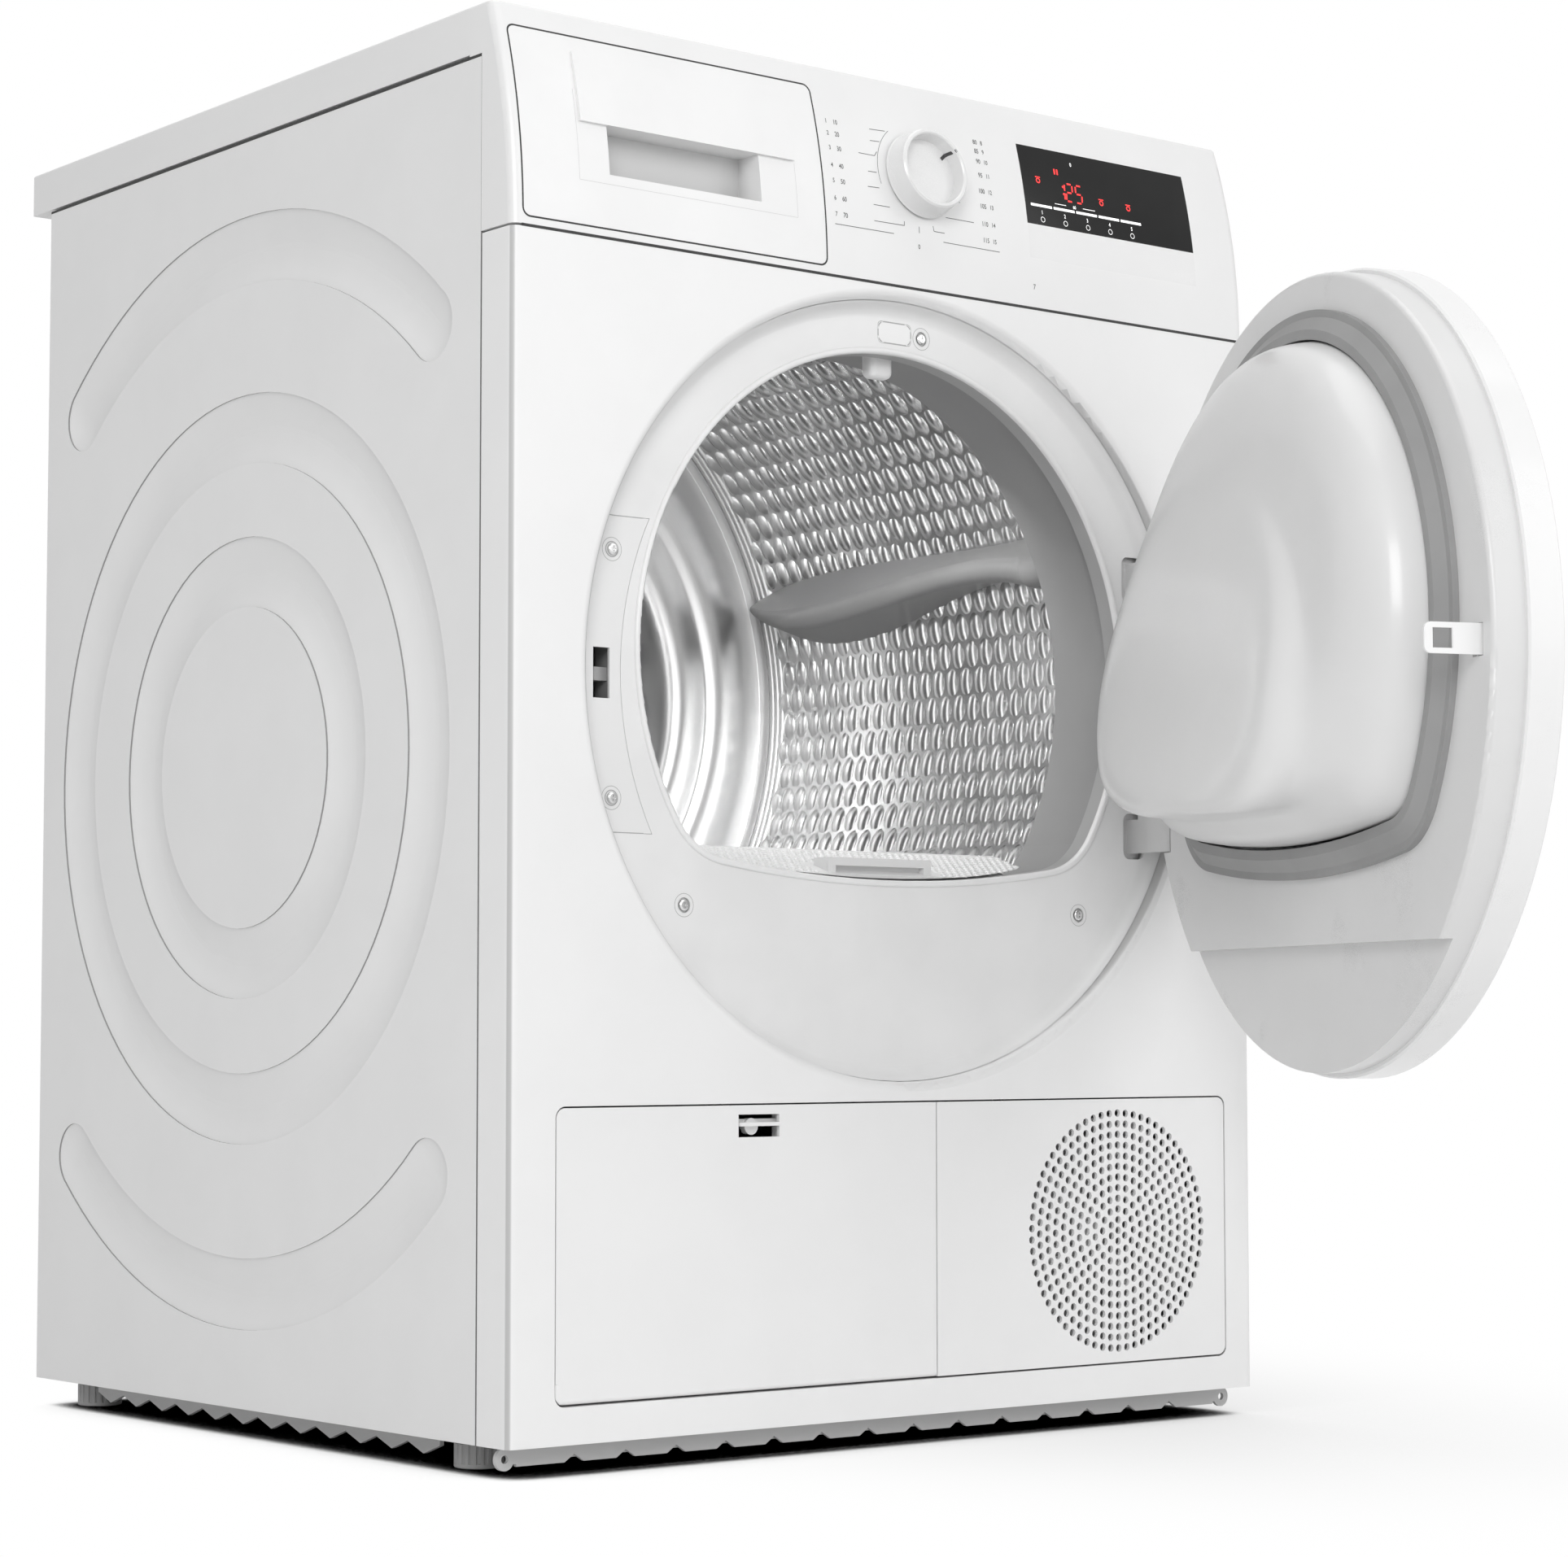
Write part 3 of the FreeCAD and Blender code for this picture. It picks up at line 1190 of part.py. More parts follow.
def make_catch_housing():
    """Guide of the catch bolt behind the bezel."""
    y = (bezel_y + bezel_wall + throat_wall, catch_y() + 8)
    shell = box((strike_x + 9, strike_x + 20), y,
                (strike_z - catch_half_height, strike_z + catch_half_height))
    bore = box((strike_x, strike_x + 18.4), (catch_y() - 4.1, catch_y() + 4.1),
               (strike_z - 4.1, strike_z + 4.1))
    return shell.cut(bore)


# ---------------------------------------------------------------- flap and grille
def pan(x, z, rounded_sides):
    """Shallow plastic pan: face plate with a rim all round, open at the rear."""
    y = (run_gap, flap_depth)
    outer = box(x, y, z)
    corner = aperture_corner_r - gap_line
    edges = [e for e in outer.Edges if abs(e.tangentAt(0).y) > 0.9
             and min(abs(e.CenterOfMass.x - side) for side in rounded_sides) < 1e-3]
    outer = outer.makeFillet(corner, edges)
    inner = box((x[0] + flap_plate, x[1] - flap_plate), (y[0] + flap_plate, y[1] + 1),
                (z[0] + flap_plate, z[1] - flap_plate))
    return outer.cut(inner)


def flap_x():
    return (aperture_x[0] + gap_line, divider_x - gap_line / 2)


def grille_x():
    return (divider_x + gap_line / 2, aperture_x[1] - gap_line)


def aperture_inner_z():
    return (aperture_z[0] + gap_line + 0.2, aperture_z[1] - gap_line)


def make_service_flap():
    x, z = flap_x(), aperture_inner_z()
    flap = pan(x, z, (x[0],))
    rounding = rod_x(flap_edge_r + run_gap, z[0] + flap_edge_r, flap_edge_r, (x[0] - 1, x[1] + 1))
    corner = box((x[0] - 1, x[1] + 1), (0, flap_edge_r + run_gap), (z[0] - 1, z[0] + flap_edge_r))
    flap = flap.cut(corner.cut(rounding))
    side_top = flap_pin_z + flap_pin_y + flap_edge_r
    side_corner = box((x[0] - 1, x[0] + flap_edge_r), (0, flap_edge_r + run_gap),
                      (z[0] - 1, side_top))
    side_rounding = rod_z(x[0] + flap_edge_r, flap_edge_r + run_gap, flap_edge_r,
                          (z[0] - 2, side_top + 1))
    flap = flap.cut(side_corner.cut(side_rounding))
    flap = flap.cut(box(latch_slot_x, (-1, 6), latch_slot_z))
    pins = [rod_x(flap_pin_y, flap_pin_z, flap_pin_r, (x[0] - 2.5, x[0] + 6)),
            rod_x(flap_pin_y, flap_pin_z, flap_pin_r, (x[1] - 6, x[1] + 2.8))]
    cheeks = [box((latch_slot_x[0] - 5, latch_slot_x[0] - 2), (flap_plate, flap_depth),
                  (latch_slot_z[0] - 8, z[1] - 1)),
              box((latch_slot_x[1] + 2, latch_slot_x[1] + 5), (flap_plate, flap_depth),
                  (latch_slot_z[0] - 8, z[1] - 1))]
    return fuse([flap] + pins + cheeks)


def make_flap_latch_lever():
    """Finger bar in the slot, with its round boss and the guides behind."""
    middle_z = (latch_slot_z[0] + latch_slot_z[1]) / 2
    middle_x = (latch_slot_x[0] + latch_slot_x[1]) / 2
    bar = box((latch_slot_x[0] + 0.6, latch_slot_x[1] - 0.6), (run_gap - 1.5, 6),
              (middle_z - 0.2, middle_z + 2.0))
    boss = rod_y(middle_x - 3, middle_z - 0.5, 5.0, (4, 8.6))
    plate = box((latch_slot_x[0] - 1.9, latch_slot_x[1] + 1.9), (6.2, 8.6),
                (middle_z - 0.5, middle_z + 4.0))
    return fuse([bar, boss, plate])


def make_inlet_grille():
    x, z = grille_x(), aperture_inner_z()
    grille = pan(x, z, (x[1],))
    pin_hole = rod_x(flap_pin_y, flap_pin_z, flap_pin_r + pin_gap, (x[0] - 1, x[0] + flap_plate + 1))
    grille = grille.cut(pin_hole)
    patch_r = grille_pitch * grille_rings + 4
    grille = grille.cut(rod_y(fan_x, fan_z, patch_r, (-1, run_gap + flap_plate)))
    wires = [Part.Wire([Part.makeCircle(patch_r, Vector(fan_x, run_gap, fan_z), Vector(0, 1, 0))])]
    for ring in range(grille_rings + 1):
        count = max(1, 6 * ring)
        for i in range(count):
            turn = 2 * math.pi * (i + 0.5 * (ring % 2)) / count
            place = Vector(fan_x + ring * grille_pitch * math.cos(turn), run_gap,
                           fan_z + ring * grille_pitch * math.sin(turn))
            wires.append(Part.Wire([Part.makeCircle(grille_hole_r, place, Vector(0, 1, 0))]))
    patch = Part.Face(wires, "Part::FaceMakerBullseye").extrude(Vector(0, flap_plate, 0))
    return grille.fuse(patch)


# ---------------------------------------------------------------- drum
def make_drum_shell():
    wall = drum_wall
    collar = drum_collar_r
    wire = outline(
        Vector(collar, drum_front_y, 0), Vector(collar + wall, drum_front_y, 0),
        Vector(collar + wall, drum_cone_y - 10, 0), Vector(drum_r + wall, drum_cone_y, 0),
        Vector(drum_r + wall, drum_rear_y, 0), Vector(drum_r, drum_rear_y, 0),
        Vector(drum_r, drum_cone_y, 0), Vector(collar, drum_cone_y - 10, 0))
    return lathe(wire, 0, drum_z)


def make_drum_back():
    """Dished, perforated rear wall with its hub and the shaft."""
    wall = back_wall
    wire = outline(
        Vector(drum_r, drum_rear_y - 12, 0), Vector(drum_r, drum_rear_y, 0),
        Vector(drum_r - 8, drum_rear_y + 6, 0), Vector(back_ridge_r + 2, back_ridge_y + wall * 1.3, 0),
        Vector(back_floor_r + wall, back_ridge_y + 8, 0),
        Vector(back_floor_r + wall, back_floor_y + wall, 0), Vector(0, back_floor_y + wall, 0),
        Vector(0, back_floor_y, 0), Vector(back_floor_r, back_floor_y, 0),
        Vector(back_floor_r, back_ridge_y + 7, 0), Vector(back_ridge_r, back_ridge_y, 0),
        Vector(drum_r - 9, drum_rear_y + 4, 0), Vector(drum_r - wall, drum_rear_y - 1, 0),
        Vector(drum_r - wall, drum_rear_y - 12, 0))
    back = lathe(wire, 0, drum_z)
    holes = []
    for ring_r, count in ((90.0, 16), (120.0, 22), (150.0, 28)):
        for i in range(count):
            turn = 2 * math.pi * i / count
            holes.append(rod_y(ring_r * math.cos(turn), drum_z + ring_r * math.sin(turn),
                               back_hole_r, (back_floor_y - 1, back_floor_y + wall + 1)))
    back = back.cut(fuse_loose(holes))
    hub = rod_y(0, drum_z, 46, (back_floor_y + wall, back_floor_y + wall + 6))
    shaft = rod_y(0, drum_z, shaft_r, (back_floor_y + wall, shaft_end_y))
    return fuse([back, hub, shaft])


def paddle_section(y, twist, half_width, reach, crest_r):
    """Section of a paddle standing on top of the drum's inside: sloping flanks that
    meet in a rounded back."""
    foot = drum_r + 3.0
    top = drum_r - reach
    middle = -drum_r * math.radians(twist)
    slope = math.atan2(half_width - crest_r * 0.6, foot - top - crest_r)
    side_x = crest_r * math.cos(slope)
    side_z = top + crest_r - crest_r * math.sin(slope)
    return outline(
        Vector(middle - half_width, y, foot), Vector(middle - side_x, y, side_z),
        (Vector(middle, y, top), Vector(middle + side_x, y, side_z)),
        Vector(middle + half_width, y, foot))


def make_drum_paddles():
    """Bow-shaped paddles that lift the laundry, lower and narrower to the rear."""
    paddles = []
    sections = [paddle_section(*values) for values in
                zip(paddle_y, paddle_twist, paddle_half_width, paddle_reach, paddle_crest_r)]
    bow = Part.makeLoft(sections, True, False)
    bow = bow.common(rod_y(0, 0, drum_r - 0.05, (0, drum_rear_y)))
    for i in range(paddle_count):
        paddle = bow.copy()
        paddle.rotate(Vector(0, 0, 0), Vector(0, 1, 0),
                      90 - paddle_phase - 360.0 * i / paddle_count)
        paddle.translate(Vector(0, 0, drum_z))
        paddles.append(paddle)
    return Part.makeCompound(paddles)


def make_drum_seals():
    """Felt rings in front of and behind the drum, with running clearance."""
    front = ring_y(0, drum_z, shield_r + felt_thickness, shield_r,
                   (drum_front_y + 2, drum_cone_y - 10))
    seat_r = back_floor_r - 6
    rear = ring_y(0, drum_z, seat_r + 1.5, seat_r - 6,
                  (back_floor_y + back_wall + run_gap, back_floor_y + 28))
    return Part.makeCompound([front, rear])


def make_rear_bearing():
    flange = rod_y(0, drum_z, bearing_flange_r, (rear_panel_y[0] - 3, rear_panel_y[0]))
    sleeve = rod_y(0, drum_z, bearing_r - 0.02, (rear_panel_y[0] - 14, shaft_end_y + 2))
    bore = rod_y(0, drum_z, shaft_r + pin_gap, (0, shaft_end_y + 5))
    return fuse([flange, sleeve]).cut(bore)


def roller_circle():
    return drum_out_r + run_gap + roller_r


def roller_places():
    turn = math.radians(roller_angle)
    x = roller_circle() * math.sin(turn)
    z = drum_z - roller_circle() * math.cos(turn)
    return [(-x, z), (x, z)]


def roller_y():
    return (drum_cone_y + 2, drum_cone_y + 2 + roller_width)


def make_roller(x, z):
    tyre = rod_y(x, z, roller_r, roller_y())
    groove = ring_y(x, z, roller_r - 6, roller_r - 12, (roller_y()[0] - 1, roller_y()[0] + 4))
    return tyre.cut(groove).cut(rod_y(x, z, roller_pin_r + pin_gap, (0, 300)))


def belt_touch():
    """Tangent points of the belt on drum and pulley, both strands."""
    big = drum_out_r + run_gap
    small = pulley_r + run_gap
    dx, dz = fan_x, fan_z - drum_z
    length = math.hypot(dx, dz)
    heading = math.atan2(dz, dx)
    lean = math.acos((big - small) / length)
    return big, small, heading, lean, length


def belt_outline(grow, y):
    big, small, heading, lean, _ = belt_touch()
    big += grow
    small += grow
    points = {}
    for side in (1, -1):
        turn = heading + side * lean
        points[side] = (Vector(big * math.cos(turn), y, drum_z + big * math.sin(turn)),
                        Vector(fan_x + small * math.cos(turn), y, fan_z + small * math.sin(turn)))
    far = Vector(-big * math.cos(heading), y, drum_z - big * math.sin(heading))
    near = Vector(fan_x + small * math.cos(heading), y, fan_z + small * math.sin(heading))
    return outline(points[1][0], (far, points[-1][0]), points[-1][1],
                   (near, points[1][1]), points[1][0])


def make_drive_belt():
    outer = Part.Face(belt_outline(belt_thickness, belt_y[0])).extrude(
        Vector(0, belt_y[1] - belt_y[0], 0))
    inner = Part.Face(belt_outline(0.0, belt_y[0] - 1)).extrude(
        Vector(0, belt_y[1] - belt_y[0] + 2, 0))
    return outer.cut(inner)


def idler_place():
    """The idler presses on the outside of the lower strand."""
    _, small, heading, lean, _ = belt_touch()
    turn = heading - lean
    normal = (math.cos(turn), math.sin(turn))
    along = (normal[1], -normal[0])
    if along[0] > 0:
        along = (-along[0], -along[1])
    start = (fan_x + small * normal[0], fan_z + small * normal[1])
    out = belt_thickness + run_gap + idler_r
    return (start[0] + along[0] * idler_along + normal[0] * out,
            start[1] + along[1] * idler_along + normal[1] * out)


def idler_y():
    middle = (belt_y[0] + belt_y[1]) / 2
    return (middle - idler_width / 2, middle + idler_width / 2)


def make_tensioner_pulley():
    x, z = idler_place()
    return rod_y(x, z, idler_r, idler_y()).cut(
        rod_y(x, z, idler_pin_r + pin_gap, (0, 300)))


def arm_y():
    return (idler_y()[1] + 1, idler_y()[1] + 1 + arm_plate)


def make_tensioner_arm():
    x, z = idler_place()
    dx, dz = x - arm_pivot[0], z - arm_pivot[1]
    length = math.hypot(dx, dz)
    ax, az = -dz / length * 8, dx / length * 8
    bar = polygon_prism([(arm_pivot[0] + ax, arm_pivot[1] + az), (x + ax, z + az),
                         (x - ax, z - az), (arm_pivot[0] - ax, arm_pivot[1] - az)], arm_y())
    pieces = [bar, rod_y(x, z, 8, arm_y()), rod_y(arm_pivot[0], arm_pivot[1], 12, arm_y()),
              rod_y(x, z, idler_pin_r, (idler_y()[0] - 2, arm_y()[1]))]
    return fuse(pieces).cut(rod_y(arm_pivot[0], arm_pivot[1], 5 + pin_gap, (0, 400)))


# ---------------------------------------------------------------- motor and fans
def make_motor_housing():
    shell = rod_y(fan_x, fan_z, motor_can_r, motor_y)
    shell = shell.makeFillet(6.0, [e for e in shell.Edges if e.Length > 100
                                   and abs(e.tangentAt(0).y) < 0.5])
    hollow = rod_y(fan_x, fan_z, rotor_r + 3, (motor_y[0] + 14, motor_y[1] - 14))
    bore = rod_y(fan_x, fan_z, motor_shaft_r + pin_gap, (0, 500))
    feet = [box((fan_x - 46, fan_x + 46), (y, y + 16), (tray_z + tray_plate, fan_z - motor_can_r + 14))
            for y in (motor_y[0] + 10, motor_y[1] - 26)]
    return fuse([shell] + feet).cut(hollow).cut(bore)


def make_motor_shaft():
    shaft = rod_y(fan_x, fan_z, motor_shaft_r, (cool_fan_y[0] - 4, process_fan_y[1] + 4))
    pulley = rod_y(fan_x, fan_z, pulley_r, (belt_y[0] - 2, belt_y[1] + 2))
    cheeks = [rod_y(fan_x, fan_z, pulley_r + 5, (y, y + 2))
              for y in (belt_y[0] - 4, belt_y[1] + 2)]
    rotor = rod_y(fan_x, fan_z, rotor_r, (motor_y[0] + 26, motor_y[1] - 26))
    return fuse([shaft, pulley, rotor] + cheeks)


def make_fan_wheel(radius, y, blades, plate_at_rear):
    """Radial wheel: back plate, hub and blades, pressed on the shaft."""
    plate = (y[1] - 2, y[1]) if plate_at_rear else (y[0], y[0] + 2)
    disc = rod_y(fan_x, fan_z, radius, plate)
    hub = rod_y(fan_x, fan_z, motor_shaft_r + 6, y)
    vanes = []
    for i in range(blades):
        vane = box((radius * 0.45, radius - 0.5), y, (-1.0, 1.0))
        vane.rotate(Vector(radius * 0.45, 0, 0), Vector(0, 1, 0), 25)
        vane.rotate(Vector(0, 0, 0), Vector(0, 1, 0), 360.0 * i / blades)
        vane.translate(Vector(fan_x, 0, fan_z))
        vanes.append(vane)
    wheel = fuse([disc, hub] + vanes)
    wheel = wheel.common(rod_y(fan_x, fan_z, radius, (y[0] - 1, y[1] + 1)))
    return wheel.cut(rod_y(fan_x, fan_z, motor_shaft_r, (0, 600)))


def make_process_fan_housing():
    """Drum-shaped housing with a suction eye and a mouth into the rear duct."""
    r = process_fan_r + fan_clear
    y = (process_fan_y[0] - 5, rear_panel_y[0])
    outer = rod_y(fan_x, fan_z, r + 3, y)
    inner = rod_y(fan_x, fan_z, r, (y[0] + 3, y[1] + 1))
    eye = rod_y(fan_x, fan_z, process_fan_r * 0.6, (y[0] - 1, y[0] + 4))
    feet = [box((fan_x + dx - 8, fan_x + dx + 8), (y[0], y[0] + 30),
                (tray_z + tray_plate, fan_z - r * 0.6)) for dx in (-44, 44)]
    housing = fuse([outer] + feet)
    return housing.cut(inner).cut(eye)


def make_heater_element():
    """Open-coil heater in the rear duct: a frame with rods across the air stream."""
    middle_x, middle_z = fan_x * 0.62, drum_z - (drum_z - fan_z) * 0.62
    y = (rear_panel_y[1], rear_panel_y[1] + 16)
    frame = box((middle_x - 52, middle_x + 52), y, (middle_z - 24, middle_z + 24))
    frame = frame.cut(box((middle_x - 48, middle_x + 48), (y[0] - 1, y[1] + 1),
                          (middle_z - 20, middle_z + 20)))
    rods = [rod_x((y[0] + y[1]) / 2, middle_z + dz, 3.0, (middle_x - 50, middle_x + 50))
            for dz in (-12, 0, 12)]
    return fuse([frame] + rods)


# ---------------------------------------------------------------- base
def serrated_skirt(x, y, teeth):
    """Plate standing under the tray with triangular teeth along its lower edge."""
    step = (y[1] - y[0]) / teeth
    points = [Vector(x[0], y[0], tray_z + 1), Vector(x[0], y[0], tray_skirt_z + 6)]
    for i in range(teeth):
        points.append(Vector(x[0], y[0] + (i + 0.5) * step, tray_skirt_z))
        points.append(Vector(x[0], y[0] + (i + 1) * step, tray_skirt_z + 6))
    points += [Vector(x[0], y[1], tray_z + 1), points[0]]
    return Part.Face(Part.makePolygon(points)).extrude(Vector(x[1] - x[0], 0, 0))


def make_base_unit():
    """Moulded base: floor, rim, foot bosses, exchanger tunnel and cooling-fan duct."""
    rim_x = inner_half - 0.3
    floor_y = (side_front_y - 14, rear_panel_y[0])
    floor = box((-rim_x, rim_x), floor_y, (tray_z, tray_z + tray_plate))
    fold_y = (side_front_y - 0.5, side_front_y + sheet + 0.3)
    for side in (-1, 1):
        notch_x = sorted((side * (half - side_fold - 0.5), side * half))
        floor = floor.cut(box(notch_x, fold_y, (0, 40)))
        front_x = sorted((side * (inner_half - 2), side * half))
        floor = floor.cut(box(front_x, (0, side_front_y), (0, 40)))
    wall_z = (tray_z, tray_wall_z)
    pieces = [floor]
    for side in (-1, 1):
        x = sorted((side * (rim_x - 12), side * (rim_x - 15)))
        pieces.append(box(x, (side_front_y + 6, rear_panel_y[0]), wall_z))
        skirt_x = sorted((side * (foot_x + 10), side * (foot_x + 13)))
        pieces.append(serrated_skirt(skirt_x, (foot_y[0] + 22, foot_y[1] - 22), 12))
        for y in foot_y:
            pieces.append(rod_z(side * foot_x, y, 12, (tray_z, foot_stem_z + 3)))
    pieces.append(serrated_front())
    tx = (exchanger_x[0] - tunnel_gap, exchanger_x[1] + tunnel_gap)
    top = exchanger_z[1] + tunnel_gap
    ty = (exchanger_y[0] + 6, exchanger_y[1] + tunnel_gap)
    tunnel = box((tx[0] - tunnel_wall, tx[1] + tunnel_wall), (ty[0], ty[1] + tunnel_wall),
                 (tray_z, top + tunnel_wall))
    tunnel = tunnel.cut(box(tx, (ty[0] - 1, ty[1]), (tray_z + tray_plate, top)))
    pieces.append(tunnel)
    r = cool_fan_r + fan_clear
    duct_y = (flap_depth + 2, cool_fan_y[1] + 6)
    duct = ring_y(fan_x, fan_z, r + 3, r, duct_y)
    web = box((fan_x - 30, fan_x + 30), (side_front_y - 14, duct_y[1]), (tray_z, fan_z - r - 1))
    pieces += [duct, web]
    arm_post = rod_y(arm_pivot[0], arm_pivot[1], 5.0, (arm_y()[0] - 1, arm_y()[1] + 14))
    post = box((arm_pivot[0] - 10, arm_pivot[0] + 10), (arm_y()[1] + 1, arm_y()[1] + 14),
               (tray_z, arm_pivot[1] + 10))
    pieces += [arm_post, post]
    base = fuse(pieces)
    bores = [rod_z(side * foot_x, y, foot_stem_r + pin_gap, (0, foot_stem_z + 1))
             for side in (-1, 1) for y in foot_y]
    return base.cut(fuse_loose(bores))


def serrated_front():
    """Front edge of the tray behind the skirt."""
    return box((-foot_x + 20, foot_x - 20), (skirt_y + skirt_plate, skirt_y + skirt_plate + 6),
               (ear_z - 2, tray_z + 1))


def make_base_skirt():
    """Strip below the front panel with an ear and a screw hole at each end."""
    strip = box((-ear_x + 8, ear_x - 8), (skirt_y, skirt_y + skirt_plate), (6, panel_bottom_z))
    notch_count = 14
    notches = []
    for i in range(notch_count):
        x = -ear_x + 30 + (2 * ear_x - 60) * (i + 0.5) / notch_count
        notches.append(polygon_prism([(x - 7, 5.9), (x, 10.5), (x + 7, 5.9)],
                                     (skirt_y - 1, skirt_y + skirt_plate + 1)))
    strip = strip.cut(fuse_loose(notches))
    pieces = [strip]
    holes = []
    for side in (-1, 1):
        y = (skirt_y, skirt_y + skirt_plate)
        pieces.append(rod_y(side * ear_x, ear_z, ear_r, y))
        x = sorted((side * (ear_x - 12), side * ear_x))
        pieces.append(box(x, y, (ear_z - 3, ear_z + ear_r)))
        holes.append(rod_y(side * ear_x, ear_z, ear_hole_r, (0, 60)))
    return fuse(pieces).cut(fuse_loose(holes))


def make_foot(x, y):
    """Screw foot: ribbed disc and a stem in the base's boss."""
    disc = rod_z(x, y, foot_r, (0, foot_height))
    disc = disc.makeFillet(1.0, [e for e in disc.Edges if abs(e.CenterOfMass.z) < 1e-3])
    cuts = []
    for i in range(foot_ribs):
        turn = 2 * math.pi * i / foot_ribs
        cuts.append(rod_z(x + (foot_r + 0.6) * math.cos(turn), y + (foot_r + 0.6) * math.sin(turn),
                          1.5, (2.5, foot_height + 1)))
    stem = rod_z(x, y, foot_stem_r, (foot_height, foot_stem_z))
    return fuse([disc.cut(fuse_loose(cuts)), stem])


def make_heat_exchanger():
    """Finned block with its front plate, handle and the pins of the two levers."""
    x, y, z = exchanger_x, exchanger_y, exchanger_z
    low = tray_z + tray_plate
    block = box(x, (y[0] + 4, y[1]), (low, z[1]))
    fins = []
    fin_count = 16
    pitch = (y[1] - y[0] - 40) / fin_count
    for i in range(fin_count):
        start = y[0] + 24 + i * pitch
        fins.append(box((x[0] - 1, x[0] + 60), (start, start + pitch * 0.5), (low + 10, z[1] - 10)))
        fins.append(box((x[1] - 60, x[1] + 1), (start, start + pitch * 0.5), (low + 10, z[1] - 10)))
    block = block.cut(fuse_loose(fins))
    face = box((x[0] - 2, x[1] + 2), (y[0], y[0] + 5), (low, z[1] + 2))
    middle = (x[0] + x[1]) / 2
    handle = box((middle - 45, middle + 45), (y[0] - 8, y[0]), (low + 60, low + 82))
    handle = handle.cut(box((middle - 38, middle + 38), (y[0] - 6, y[0] + 1), (low + 66, low + 90)))
    handle = handle.fuse(box((middle - 45, middle + 45), (y[0] - 1, y[0]), (low + 60, low + 66)))
    pins = [rod_y(px, pz, 4.0, (y[0] - 8, y[0])) for px, pz in lever_places()]
    return fuse([block, face, handle] + pins)


def lever_places():
    middle_z = (exchanger_z[0] + exchanger_z[1]) / 2
    return [(exchanger_x[0] + 24, middle_z), (exchanger_x[1] - 24, middle_z)]


def make_exchanger_lever(place, side):
    x, z = place
    y = (exchanger_y[0] - run_gap - lever_plate, exchanger_y[0] - run_gap)
    hub = rod_y(x, z, lever_r, y)
    bar_x = sorted((x, x + side * lever_length))
    bar = box(bar_x, y, (z - 5, z + 5))
    bar = bar.makeFillet(3.0, [e for e in bar.Edges if abs(e.tangentAt(0).y) > 0.9
                               and abs(e.CenterOfMass.x - x) > lever_length / 2])
    return fuse([hub, bar]).cut(rod_y(x, z, 4.0 + pin_gap, (0, 60)))


def make_condensate_pump():
    x, y = -200.0, 505.0
    body = rod_z(x, y, pump_r, (tray_z + tray_plate, 76))
    cap = rod_z(x, y, pump_r - 6, (76, 96))
    return fuse([body, cap])


def make_condensate_riser():
    """Pipe from the pump up to the container's rear."""
    x, y = -200.0, 505.0
    top_z_here = tank_top_z - 60
    target_x = drawer_x[0] + 60
    start_y = tank_rear_y + 17
    bend = 30.0
    riser_y = y + 30
    far_x = -272.0
    points = [Vector(x, y, 96), Vector(x, y, 140), Vector(far_x, riser_y, 180),
              Vector(far_x, riser_y, 700), Vector(target_x, riser_y, top_z_here),
              Vector(target_x, start_y - 2, top_z_here)]
    return bent_tube(points, pipe_r - 1, 20.0)


def bent_tube(points, radius, bend):
    """Round tube: straight runs joined by tangent arcs at each inner point."""
    edges = []
    here = points[0]
    for i in range(1, len(points) - 1):
        to_here = (points[i - 1] - points[i]).normalize()
        to_next = (points[i + 1] - points[i]).normalize()
        half_turn = (math.pi - to_here.getAngle(to_next)) / 2
        reach = bend * math.tan(half_turn)
        enter = points[i] + to_here * reach
        leave = points[i] + to_next * reach
        inward = (to_here + to_next).normalize()
        centre = points[i] + inward * (bend / math.cos(half_turn))
        middle = centre - inward * bend
        edges.append(Part.makeLine(here, enter))
        edges.append(Part.Arc(enter, middle, leave).toShape())
        here = leave
    edges.append(Part.makeLine(here, points[-1]))
    path = Part.Wire(edges)
    start_direction = (points[1] - points[0]).normalize()
    circle = Part.Wire([Part.makeCircle(radius, points[0], start_direction)])
    return path.makePipeShell([circle], True, True)


